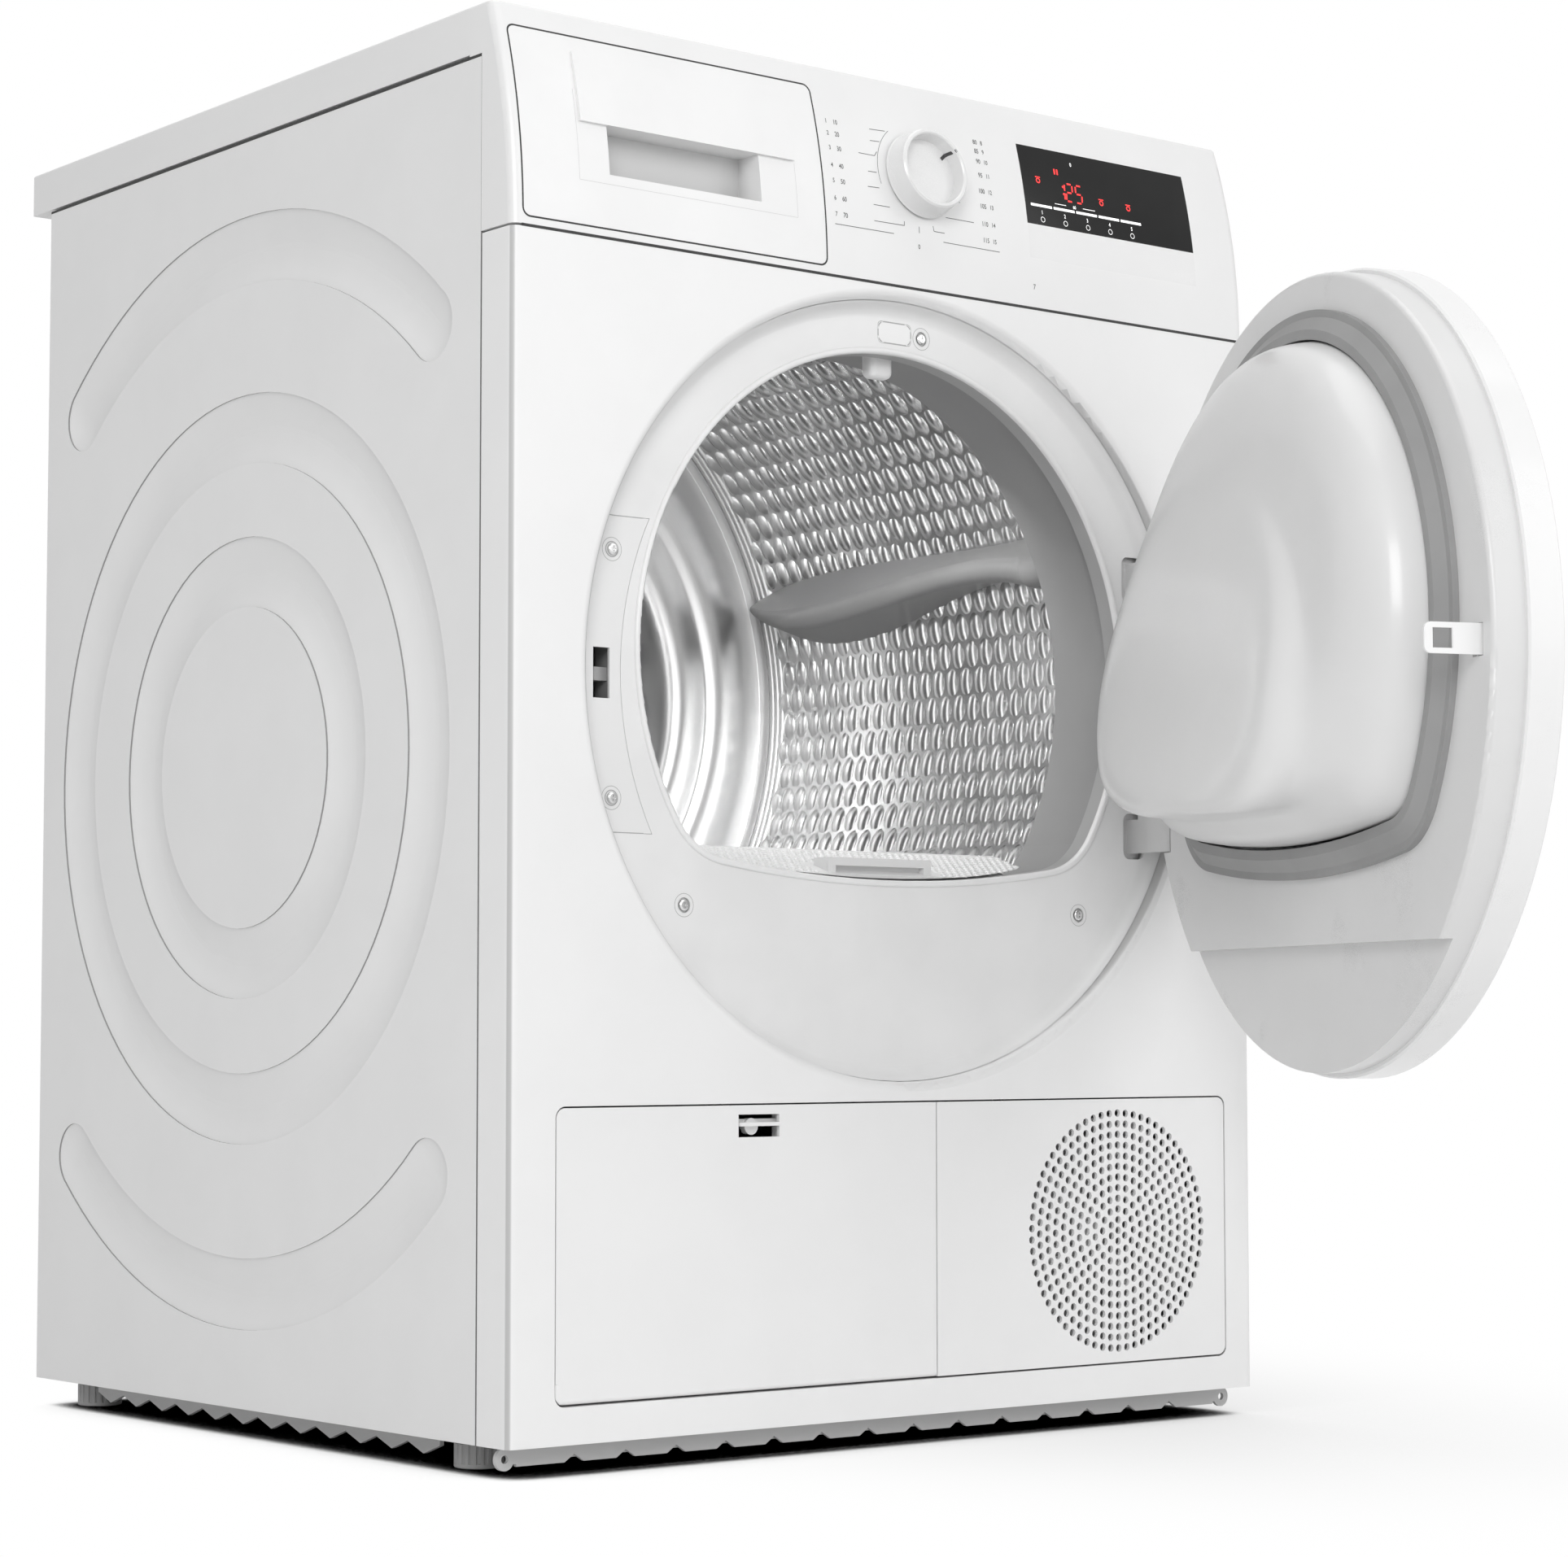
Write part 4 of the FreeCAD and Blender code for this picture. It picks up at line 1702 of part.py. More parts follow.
# ---------------------------------------------------------------- all pieces
def main():
    side = make_side_panel()
    save("side_panel_right", side)
    save("side_panel_left", mirrored(side))
    save("front_panel", make_front_panel())
    save("worktop", make_worktop())
    save("rear_panel", make_rear_panel())
    save("rear_duct_cover", make_rear_duct_cover())
    save("control_panel", make_control_panel())
    save("display_window", face_layer((0, inlay), display_x, window_z))
    save("key_strip", face_layer((0, inlay), display_x, keys_z))
    save("control_board", make_control_board())
    save("program_knob", make_program_knob())
    save("condensate_tank", make_condensate_tank())
    save("container_front", make_container_front())
    save("container_guide", make_container_guide())
    save("porthole_bezel", make_porthole_bezel())
    save("latch_insert", make_latch_insert())
    save("bezel_screws", make_screws())
    save("front_throat", make_front_throat())
    save("drum_shield", make_drum_shield())
    save("lint_filter", make_lint_filter())
    save("drum_lamp", make_drum_lamp())
    save("door_front_panel", open_door(make_door_front_panel()))
    save("door_outer_ring", open_door(make_door_outer_ring()))
    save("door_inner_frame", open_door(make_door_inner_frame()))
    save("door_seal", open_door(make_door_seal()))
    save("door_bowl", open_door(make_door_bowl()))
    save("hinge_leaves", open_door(make_hinge_leaves()))
    save("hinge_brackets", make_hinge_brackets())
    save("latch_strike", open_door(make_latch_strike()))
    save("catch_bolt", make_catch_bolt())
    save("service_flap", make_service_flap())
    save("flap_latch_lever", make_flap_latch_lever())
    save("inlet_grille", make_inlet_grille())
    save("drum_shell", make_drum_shell())
    save("drum_back", make_drum_back())
    save("drum_paddles", make_drum_paddles())
    save("drum_seals", make_drum_seals())
    save("rear_bearing", make_rear_bearing())
    places = roller_places()
    save("support_roller_left", make_roller(*places[0]))
    save("support_roller_right", make_roller(*places[1]))
    save("drive_belt", make_drive_belt())
    save("tensioner_arm", make_tensioner_arm())
    save("tensioner_pulley", make_tensioner_pulley())
    save("motor_housing", make_motor_housing())
    save("motor_shaft", make_motor_shaft())
    save("cooling_fan_wheel", make_fan_wheel(cool_fan_r, cool_fan_y, 10, True))
    save("process_fan_wheel", make_fan_wheel(process_fan_r, process_fan_y, 12, True))
    save("process_fan_housing", make_process_fan_housing())
    save("heater_element", make_heater_element())
    save("base_unit", make_base_unit())
    save("base_skirt", make_base_skirt())
    save("heat_exchanger", make_heat_exchanger())
    levers = lever_places()
    save("exchanger_lever_left", make_exchanger_lever(levers[0], -1))
    save("exchanger_lever_right", make_exchanger_lever(levers[1], 1))
    save("condensate_pump", make_condensate_pump())
    save("condensate_riser", make_condensate_riser())
    for x, side_name in ((-foot_x, "left"), (foot_x, "right")):
        for y, end_name in ((foot_y[0], "front"), (foot_y[1], "rear")):
            save("foot_%s_%s" % (end_name, side_name), make_foot(x, y))


main()
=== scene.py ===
import math
from collections import Counter
import bmesh
import bpy
import numpy as np
from mathutils import Euler, Matrix, Quaternion, Vector
from mathutils.bvhtree import BVHTree


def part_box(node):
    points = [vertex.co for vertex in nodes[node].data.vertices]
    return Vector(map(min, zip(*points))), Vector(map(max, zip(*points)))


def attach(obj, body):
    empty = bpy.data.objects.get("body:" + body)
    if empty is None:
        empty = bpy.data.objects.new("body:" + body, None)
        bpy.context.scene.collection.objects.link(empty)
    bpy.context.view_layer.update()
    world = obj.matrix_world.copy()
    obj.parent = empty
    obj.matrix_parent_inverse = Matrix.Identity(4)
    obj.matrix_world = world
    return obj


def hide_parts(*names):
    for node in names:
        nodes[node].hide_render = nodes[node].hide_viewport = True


# Clothes dryer: finishes, prints, dimpled drum wall and other fine parts round the
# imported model.  Metres; x to the right seen from the front, y rearwards, z up.

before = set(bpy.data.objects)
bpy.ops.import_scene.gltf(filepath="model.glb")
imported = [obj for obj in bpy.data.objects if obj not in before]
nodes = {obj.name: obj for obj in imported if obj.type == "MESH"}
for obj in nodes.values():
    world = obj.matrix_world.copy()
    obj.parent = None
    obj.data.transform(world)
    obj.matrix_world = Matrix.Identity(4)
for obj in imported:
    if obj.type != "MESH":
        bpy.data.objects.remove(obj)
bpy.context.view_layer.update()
MM = 0.001
WELD = 0.00001                   # corners of loose triangles nearer than this are one
DRUM_LOW, DRUM_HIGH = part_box("drum_shell")
DRUM_AXIS_Z = (DRUM_LOW.z + DRUM_HIGH.z) / 2
BEZEL_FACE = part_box("latch_insert")[0].y


# ---------------- shader trees
class Shader:
    """A node tree with short names for the nodes that the finishes use. It belongs to
    a new material, or to an owner such as the world."""

    def __init__(self, name, owner=None, **sockets):
        self.material = owner or bpy.data.materials.new(name)
        self.material.use_nodes = True
        self.tree = self.material.node_tree
        self.skin = self.tree.nodes.get("Principled BSDF")
        for socket, value in sockets.items():
            self.skin.inputs[socket.replace("_", " ")].default_value = value

    def add(self, kind, links, **settings):
        node = self.tree.nodes.new("ShaderNode" + kind)
        for name, value in settings.items():
            setattr(node, name, value)
        for socket, value in links.items():
            if isinstance(value, bpy.types.NodeSocket):
                self.tree.links.new(value, node.inputs[socket])
            else:
                node.inputs[socket].default_value = value
        return node

    def drive(self, socket, value):
        self.tree.links.new(value, self.skin.inputs[socket])

    def seen(self):
        """1 where a camera, glossy or transmission ray looks, else 0."""
        ray = self.add("LightPath", {}).outputs
        seen = self.math("MAXIMUM", ray["Is Camera Ray"], ray["Is Glossy Ray"])
        return self.math("MAXIMUM", seen, ray["Is Transmission Ray"])

    def show(self, output, other, seen):
        """One shader for the rays that see it and the other for the rest."""
        blend = self.add("MixShader", {"Fac": self.seen(), 1: other, 2: seen})
        self.tree.links.new(blend.outputs[0], self.tree.nodes[output].inputs["Surface"])

    def place(self, stretch=(1.0, 1.0, 1.0), centre=(0.0, 0.0, 0.0)):
        """Object coordinates, moved so that centre is zero, then stretched."""
        source = self.add("TexCoord", {}).outputs["Object"]
        moved = self.add("VectorMath", {0: source, 1: centre}, operation="SUBTRACT")
        return self.add("Mapping", {"Vector": moved.outputs[0], "Scale": stretch}).outputs[0]

    def noise(self, point, size, detail=2.0, roughness=0.5):
        """Grey noise whose patches are about size metres across."""
        return self.add("TexNoise", {"Vector": point, "Scale": 1.0 / size, "Detail": detail,
                                     "Roughness": roughness}).outputs["Fac"]

    def math(self, operation, a, b=0.0, c=0.0):
        return self.add("Math", {0: a, 1: b, 2: c}, operation=operation).outputs[0]

    def ramp(self, value, low, high, out_low=0.0, out_high=1.0, smooth=False):
        kind = "SMOOTHSTEP" if smooth else "LINEAR"
        return self.add("MapRange", {"Value": value, "From Min": low, "From Max": high,
                                     "To Min": out_low, "To Max": out_high},
                        interpolation_type=kind).outputs["Result"]

    def mix(self, factor, first, second):
        node = self.add("Mix", {"Factor": factor, 6: first, 7: second}, data_type="RGBA")
        return node.outputs[2]

    def bump(self, height, depth):
        return self.add("Bump", {"Height": height, "Distance": depth,
                                 "Strength": 1.0}).outputs["Normal"]

    def sideways(self):
        """How far the surface faces left or right: 0 to 1."""
        facing = self.add("TexCoord", {}).outputs["Normal"]
        split = self.add("SeparateXYZ", {"Vector": facing})
        return self.math("ABSOLUTE", split.outputs["X"])


def tone(value, warm=0.0):
    """Linear grey, a touch warmer or cooler."""
    return (value * (1 + warm), value, value * (1 - warm), 1.0)


def base_finish(name, light, dark, rough, grain, depth, blotch=0.06,
                stretch=(1.0, 1.0, 1.0), **sockets):
    """Colour that drifts between light and dark in large faint patches, roughness
    that varies with it, and a fine grain of the given size and depth."""
    shader = Shader(name, **sockets)
    point = shader.place()
    patches = shader.noise(point, blotch, 3.0)
    fine = shader.noise(shader.place(stretch), grain, 3.0, 0.6)
    colour = shader.mix(shader.ramp(patches, 0.35, 0.65), dark, light)
    shader.drive("Base Color", colour)
    mixed = shader.math("MULTIPLY_ADD", fine, 0.35, shader.math("MULTIPLY", patches, 0.65))
    shader.drive("Roughness", shader.ramp(mixed, 0.3, 0.7, rough[0], rough[1]))
    shader.drive("Normal", shader.bump(fine, depth))
    return shader, colour


def plain(name, value, rough, grain, depth, spread=0.008, warm=0.0, **options):
    """Moulded or painted surface of one grey."""
    return base_finish(name, tone(value + spread, warm), tone(value - spread, warm),
                       rough, grain, depth, **options)[0].material


def side_paint():
    """Powder coat whose pressed rings carry painted shade: a darker line on their walls, where the
    surface turns away from the side.
    """
    shader, colour = base_finish(
        "side_paint", tone(0.80), tone(0.78), (0.36, 0.46), 0.0011, 0.00002,
        Coat_Weight=0.12, Coat_Roughness=0.25)
    # painted shade: the walls of the pressed rings, facing away from the side, are mixed towards
    # dark grey
    wall = shader.ramp(shader.sideways(), 0.45, 0.80, 1.0, 0.0, smooth=True)
    shader.drive("Base Color", shader.mix(wall, colour, tone(0.30)))
    return shader.material


def bezel_finish():
    """White face of the bezel; its wall behind the face is grey."""
    edge, blur = BEZEL_FACE + 0.0014, 0.0006
    shader = Shader("bezel", Coat_Weight=0.1)
    point = shader.place()
    along = shader.add("SeparateXYZ", {"Vector": point}).outputs["Y"]
    share = shader.ramp(along, edge - blur, edge + blur, smooth=True)
    patches = shader.noise(point, 0.06, 3.0)
    fine = shader.noise(point, 0.0005, 3.0, 0.6)
    drift = shader.ramp(patches, 0.35, 0.65, 0.975, 1.025)
    colour = shader.mix(share, tone(0.79), tone(0.35))
    shaded = shader.add("VectorMath", {0: colour, "Scale": drift}, operation="SCALE")
    shader.drive("Base Color", shaded.outputs[0])
    shader.drive("Roughness", shader.ramp(patches, 0.3, 0.7, 0.30, 0.36))
    shader.drive("Normal", shader.bump(fine, 0.00001))
    return shader.material


def drum_rear_finish():
    """Bright pressed ring round a duller perforated floor, whose dark grey is painted shade of the
    deep centre.
    """
    shader = Shader("drum_rear", Metallic=1.0, Anisotropic=0.3)
    middle = (0.0, 0.0, DRUM_AXIS_Z)
    point = shader.place(stretch=(1.0, 0.0, 1.0), centre=middle)
    radius = shader.add("VectorMath", {0: point}, operation="LENGTH").outputs["Value"]
    inside = shader.ramp(radius, 0.160, 0.163, 1.0, 0.0, smooth=True)
    brush = shader.add("CombineXYZ", {"X": radius}).outputs[0]
    lines = shader.noise(brush, 0.0011, 3.0, 0.7)
    patches = shader.noise(shader.place(), 0.05, 2.0)
    bright = shader.mix(lines, tone(0.66), tone(0.76))
    # painted shade: the perforated floor inside the ring gets a near-black grey
    shaded_floor = shader.mix(patches, tone(0.15), tone(0.19))
    shader.drive("Base Color", shader.mix(inside, bright, shaded_floor))
    rough = shader.math("MULTIPLY_ADD", inside, 0.16, shader.ramp(lines, 0.3, 0.7, 0.30, 0.36))
    shader.drive("Roughness", rough)
    shader.drive("Normal", shader.bump(lines, 0.00002))
    return shader.material


def brushed(name, value, rough, stretch, aniso):
    """Metal whose fine grain is stretched across the brushing."""
    return base_finish(name, tone(value + 0.05), tone(value - 0.05), rough, 0.0006, 0.00002,
                       stretch=stretch, Metallic=1.0, Anisotropic=aniso)[0].material


def glowing(name, colour, strength):
    """Lit segments behind the window: a steady colour with a faint unevenness."""
    shader = Shader(name, Roughness=0.3, Emission_Strength=strength)
    uneven = shader.noise(shader.place(), 0.003)
    dim = tuple(c * 0.8 for c in colour[:3]) + (1.0,)
    shader.drive("Emission Color", shader.mix(uneven, colour, dim))
    shader.drive("Base Color", shader.mix(uneven, colour, dim))
    return shader.material


def front_paint():
    """Powder coat with painted shade along the rolled edges between the front and the sides."""
    shader, colour = base_finish(
        "front_paint", tone(0.838), tone(0.822), (0.36, 0.42), 0.0011, 0.00002,
        Coat_Weight=0.15, Coat_Roughness=0.22)
    across = shader.sideways()
    # painted shade: where the surface rolls round to face sideways it is mixed towards mid grey
    edge_shade = shader.math("MULTIPLY", shader.ramp(across, 0.45, 0.70, smooth=True),
                         shader.ramp(across, 0.985, 0.93, smooth=True))
    shader.drive("Base Color", shader.mix(edge_shade, colour, tone(0.50)))
    return shader.material


# name, grey, roughness from and to, the grain's size and depth, other settings
PLAIN = (
    ("worktop", 0.80, (0.40, 0.50), 0.0007, 0.00003, dict(blotch=0.12)),
    ("console", 0.80, (0.30, 0.38), 0.0005, 0.00001, dict(Coat_Weight=0.2, Coat_Roughness=0.2)),
    ("white_moulded", 0.82, (0.34, 0.42), 0.0004, 0.000015),
    ("insert", 0.78, (0.30, 0.36), 0.0004, 0.00001),
    ("knob", 0.75, (0.24, 0.30), 0.0004, 0.000006, dict(Coat_Weight=0.2)),
    ("door_ring", 0.82, (0.26, 0.32), 0.0005, 0.000006,
     dict(Coat_Weight=0.3, Coat_Roughness=0.12)),
    ("door_inner", 0.70, (0.26, 0.32), 0.0005, 0.00001),
    ("filter", 0.76, (0.38, 0.46), 0.0005, 0.00002),
    ("filter_pads", 0.86, (0.30, 0.38), 0.0005, 0.00001),
    ("throat", 0.27, (0.42, 0.50), 0.0006, 0.00003),
    ("seal", 0.30, (0.40, 0.52), 0.0009, 0.00002, dict(spread=0.02)),
    ("bowl", 0.72, (0.34, 0.40), 0.004, 0.000004, dict(Coat_Weight=0.35, Coat_Roughness=0.14)),
    ("window", 0.006, (0.08, 0.12), 0.01, 0.000002,
     dict(spread=0.002, Specular_IOR_Level=0.22)),
    ("keys", 0.80, (0.22, 0.30), 0.0004, 0.000006),
    # joint: grey for the painted shade in the joint round the grip plate
    ("joint", 0.60, (0.40, 0.50), 0.0004, 0.000004),
    # groove: dark grey for the painted shade in the bezel's grooves
    ("groove", 0.40, (0.40, 0.50), 0.0004, 0.000004),
    ("bolt", 0.44, (0.36, 0.44), 0.0005, 0.00002),
    ("paddle", 0.225, (0.36, 0.44), 0.0005, 0.00002),
    ("strike", 0.86, (0.25, 0.35), 0.0006, 0.00001, dict(Coat_Weight=0.2)),
    ("hinge", 0.66, (0.26, 0.34), 0.0006, 0.00001, dict(Coat_Weight=0.2)),
    ("base_plastic", 0.52, (0.42, 0.52), 0.0012, 0.00006),
    ("foot", 0.42, (0.45, 0.55), 0.0010, 0.00004),
    ("inner_plastic", 0.66, (0.36, 0.46), 0.0010, 0.00003),
    ("motor", 0.10, (0.42, 0.55), 0.0015, 0.00008, dict(Metallic=0.6)),
    ("belt", 0.03, (0.55, 0.65), 0.0012, 0.00005, dict(spread=0.006)),
    ("hose", 0.05, (0.40, 0.50), 0.0015, 0.00004, dict(spread=0.01)),
    ("felt", 0.42, (0.85, 0.95), 0.0009, 0.0003,
     dict(spread=0.05, warm=0.04, Sheen_Weight=0.3)),
    ("lamp", 0.84, (0.24, 0.32), 0.0006, 0.000006),
    ("dark_gap", 0.03, (0.60, 0.70), 0.0004, 0.000004, dict(spread=0.004)),
    ("ink", 0.06, (0.45, 0.55), 0.0004, 0.000004),
    ("ink_pale", 0.10, (0.45, 0.55), 0.0004, 0.000004),
)
# name, grey, roughness from and to, stretch of the grain, how far it brushes highlights
BRUSHED = (
    ("drum", 0.66, (0.20, 0.26), (1.0, 40.0, 1.0), 0.3),
    ("drum_bumps", 0.70, (0.17, 0.22), (1.0, 1.0, 1.0), 0.1),
    ("zinc", 0.62, (0.30, 0.42), (1.0, 1.0, 6.0), 0.2),
    ("bright", 0.70, (0.16, 0.24), (1.0, 1.0, 8.0), 0.3),
    ("steel", 0.56, (0.18, 0.28), (1.0, 30.0, 1.0), 0.4),
    ("aluminium", 0.70, (0.26, 0.38), (1.0, 1.0, 20.0), 0.3),
)
FINISH = {
    "side_paint": side_paint(),
    "front_paint": front_paint(),
    "bezel": bezel_finish(),
    "drum_back": drum_rear_finish(),
    "board": base_finish("board", (0.03, 0.16, 0.07, 1), (0.02, 0.11, 0.05, 1),
                         (0.25, 0.4), 0.0015, 0.00004, blotch=0.01)[0].material,
    "red_light": glowing("red_light", (1.0, 0.03, 0.03, 1.0), 0.9),
    "white_light": glowing("white_light", (0.95, 0.95, 0.95, 1.0), 0.8),
}
for name, grey, rough, grain, depth, *options in PLAIN:
    FINISH[name] = plain(name, grey, rough, grain, depth, **dict(*options))
for row in BRUSHED:
    FINISH[row[0]] = brushed(*row)

NODE_FINISH = {
    "side_paint": "side_panel_left side_panel_right",
    "front_paint": "front_panel",
    "worktop": "worktop",
    "console": "control_panel container_front",
    "white_moulded": "service_flap inlet_grille flap_latch_lever door_front_panel",
    "bezel": "porthole_bezel",
    "insert": "latch_insert",
    "bolt": "catch_bolt",
    "knob": "program_knob",
    "door_ring": "door_outer_ring",
    "door_inner": "door_inner_frame",
    "filter": "lint_filter",
    "throat": "front_throat drum_shield",
    "seal": "door_seal",
    "bowl": "door_bowl",
    "window": "display_window",
    "keys": "key_strip",
    "drum": "drum_shell",
    "drum_back": "drum_back",
    "paddle": "drum_paddles",
    "zinc": "rear_panel rear_duct_cover tensioner_arm rear_bearing",
    "strike": "latch_strike",
    "bright": "bezel_screws",
    "hinge": "hinge_brackets hinge_leaves",
    "base_plastic": "base_unit base_skirt",
    "foot": "foot_front_left foot_front_right foot_rear_left foot_rear_right",
    "inner_plastic": "condensate_tank container_guide process_fan_housing "
                     "condensate_pump cooling_fan_wheel process_fan_wheel "
                     "support_roller_left support_roller_right tensioner_pulley "
                     "exchanger_lever_left exchanger_lever_right",
    "motor": "motor_housing",
    "steel": "motor_shaft",
    "aluminium": "heat_exchanger heater_element",
    "board": "control_board",
    "belt": "drive_belt",
    "hose": "condensate_riser",
    "felt": "drum_seals",
    "lamp": "drum_lamp",
}


def paint_node(name, material):
    slots = nodes[name].data.materials
    slots.clear()
    slots.append(material)


def dress_nodes():
    """One finish for every node; a node without one stops the script."""
    for finish, names in NODE_FINISH.items():
        for name in names.split():
            paint_node(name, FINISH[finish])
    bare = set(nodes) - set(" ".join(NODE_FINISH.values()).split())
    if bare:
        raise ValueError("no finish for " + ", ".join(sorted(bare)))


dress_nodes()


# ---------------- making pieces
def dress_container():
    """White face with painted shade in its finger pocket, darker the deeper it goes."""
    skin = Skin("container_front")
    low, high = (skin.from_front(-0.285, z) for z in (0.730, 0.830))
    lean = (high.y - low.y) / (high.z - low.z)
    shader, colour = base_finish(
        "container_face", tone(0.835), tone(0.805), (0.30, 0.38), 0.0005, 0.00001,
        Coat_Weight=0.2, Coat_Roughness=0.2)
    split = shader.add("SeparateXYZ", {"Vector": shader.place()})
    upright = shader.math("MULTIPLY_ADD", split.outputs["Z"], -lean, split.outputs["Y"])
    depth = shader.math("SUBTRACT", upright, low.y - lean * low.z)
    # painted shade: the pocket's surface is mixed towards grey with its depth behind the face
    pocket_shade = shader.ramp(depth, 0.004, 0.026, smooth=True)
    shader.drive("Base Color", shader.mix(pocket_shade, colour, tone(0.50)))
    paint_node("container_front", shader.material)


def new_object(name, data):
    thing = bpy.data.objects.new(name, data)
    bpy.context.scene.collection.objects.link(thing)
    return thing


def evaluated_mesh(thing):
    """Mesh of a piece as its modifiers or its text leave it."""
    bpy.context.view_layer.update()
    ready = thing.evaluated_get(bpy.context.evaluated_depsgraph_get())
    return bpy.data.meshes.new_from_object(ready)


def mesh_of(name, form):
    """Mesh datablock of a bmesh, which is freed."""
    mesh = bpy.data.meshes.new(name)
    form.to_mesh(mesh)
    form.free()
    return mesh


def add_piece(name, mesh, finish, body, smooth=True):
    """Mesh made an object that rides on a body and is painted with one finish."""
    piece = new_object(name, mesh)
    mesh.materials.clear()
    mesh.materials.append(FINISH[finish])
    mesh.polygons.foreach_set("use_smooth", [smooth] * len(mesh.polygons))
    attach(piece, body)
    return piece


def add_form(name, form, finish, body, smooth=True, outwards=False):
    """Piece made of a bmesh, its faces turned outwards first where that is asked."""
    if outwards:
        bmesh.ops.recalc_face_normals(form, faces=form.faces)
    return add_piece(name, mesh_of(name, form), finish, body, smooth)


class Skin:
    """Skin of some CAD nodes, to lay prints and small parts on."""

    def __init__(self, *names):
        points, faces = [], []
        for name in names:
            mesh = nodes[name].data
            first = len(points)
            points += [v.co.copy() for v in mesh.vertices]
            faces += [[first + i for i in p.vertices] for p in mesh.polygons]
        self.tree = BVHTree.FromPolygons(points, faces)
        self.depth = None

    def hit(self, start, direction):
        place = self.tree.ray_cast(Vector(start), Vector(direction))[0]
        if place is None:
            raise ValueError("nothing in front of %s" % (tuple(start),))
        return place

    def from_front(self, x, z):
        """Skin in front of a place; over a gap it keeps the depth of the last one."""
        place = self.tree.ray_cast(Vector((x, -1.2, z)), Vector((0, 1, 0)))[0]
        if place is None:
            return Vector((x, self.depth, z))
        self.depth = place.y
        return place


class Print:
    """Flat marks laid on a skin as seen from the front; x and z in millimetres."""

    def __init__(self, skin, lift=0.00006):
        self.skin = skin
        self.lift = lift
        self.form = bmesh.new()

    def corner(self, x, z):
        place = self.skin.from_front(x * MM, z * MM)
        return self.form.verts.new((place.x, place.y - self.lift, place.z))

    def shape(self, corners):
        self.form.faces.new([self.corner(x, z) for x, z in corners])

    def line(self, points, width):
        """Open line of straight runs, in steps short enough to follow a curved skin."""
        for (x0, z0), (x1, z1) in zip(points, points[1:]):
            length = math.hypot(x1 - x0, z1 - z0)
            across_x, across_z = (z0 - z1) / length * width / 2, (x1 - x0) / length * width / 2
            steps = max(1, int(length / 6.0))
            rows = []
            for i in range(steps + 1):
                x = x0 + (x1 - x0) * i / steps
                z = z0 + (z1 - z0) * i / steps
                rows.append((self.corner(x - across_x, z - across_z),
                             self.corner(x + across_x, z + across_z)))
            for (a, b), (c, d) in zip(rows, rows[1:]):
                self.form.faces.new((a, c, d, b))

    def ring(self, x, z, radius, width, start=0.0, end=360.0, steps=20):
        rows = []
        for i in range(steps + 1):
            turn = math.radians(start + (end - start) * i / steps)
            rows.append([self.corner(x + r * math.cos(turn), z + r * math.sin(turn))
                         for r in (radius - width / 2, radius + width / 2)])
        for (a, b), (c, d) in zip(rows, rows[1:]):
            self.form.faces.new((a, b, d, c))

    def text(self, words, x, z, height, align="CENTER", narrow=0.82):
        """Plain figures, height being that of a digit."""
        curve = bpy.data.curves.new("figures", "FONT")
        curve.body = words
        curve.align_x = align
        curve.size = height / 0.70
        curve.resolution_u = 3
        curve.offset = 0.05
        holder = new_object("figures", curve)
        flat = evaluated_mesh(holder)
        corners = [self.corner(x + v.co.x * narrow, z + v.co.y) for v in flat.vertices]
        for polygon in flat.polygons:
            self.form.faces.new([corners[i] for i in polygon.vertices])
        bpy.data.objects.remove(holder)
        bpy.data.curves.remove(curve)
        bpy.data.meshes.remove(flat)

    def piece(self, name, finish, body="cabinet"):
        """The marks as one piece, all of them facing forwards."""
        for face in self.form.faces:
            face.normal_update()
            if face.normal.y > 0:
                face.normal_flip()
        add_form(name, self.form, finish, body, smooth=False)


def repeat_tree():
    """Node tree that sets a template at every point of a mesh, turned and sized by the
    point's own attributes."""
    tree = bpy.data.node_groups.new("repeat", "GeometryNodeTree")
    for name, kind in (("Spots", "Geometry"), ("Template", "Object"), ("Finish", "Material")):
        tree.interface.new_socket(name, in_out="INPUT", socket_type="NodeSocket" + kind)
    tree.interface.new_socket("Copies", in_out="OUTPUT", socket_type="NodeSocketGeometry")
    given, done, rotate = (tree.nodes.new(kind) for kind in (
        "NodeGroupInput", "NodeGroupOutput", "FunctionNodeEulerToRotation"))
    template, turn, size, place, real, paint = (tree.nodes.new("GeometryNode" + kind) for kind in (
        "ObjectInfo", "InputNamedAttribute", "InputNamedAttribute", "InstanceOnPoints",
        "RealizeInstances", "SetMaterial"))
    for node, attribute in ((turn, "turn"), (size, "size")):
        node.data_type = "FLOAT_VECTOR"
        node.inputs["Name"].default_value = attribute
    wires = ((given, "Template", template, "Object"), (given, "Spots", place, "Points"),
             (template, "Geometry", place, "Instance"), (turn, "Attribute", rotate, "Euler"),
             (rotate, "Rotation", place, "Rotation"), (size, "Attribute", place, "Scale"),
             (place, "Instances", real, "Geometry"), (real, "Geometry", paint, "Geometry"),
             (given, "Finish", paint, "Material"), (paint, "Geometry", done, "Copies"))
    for source, output, target, socket in wires:
        tree.links.new(source.outputs[output], target.inputs[socket])
    return tree


REPEAT = repeat_tree()


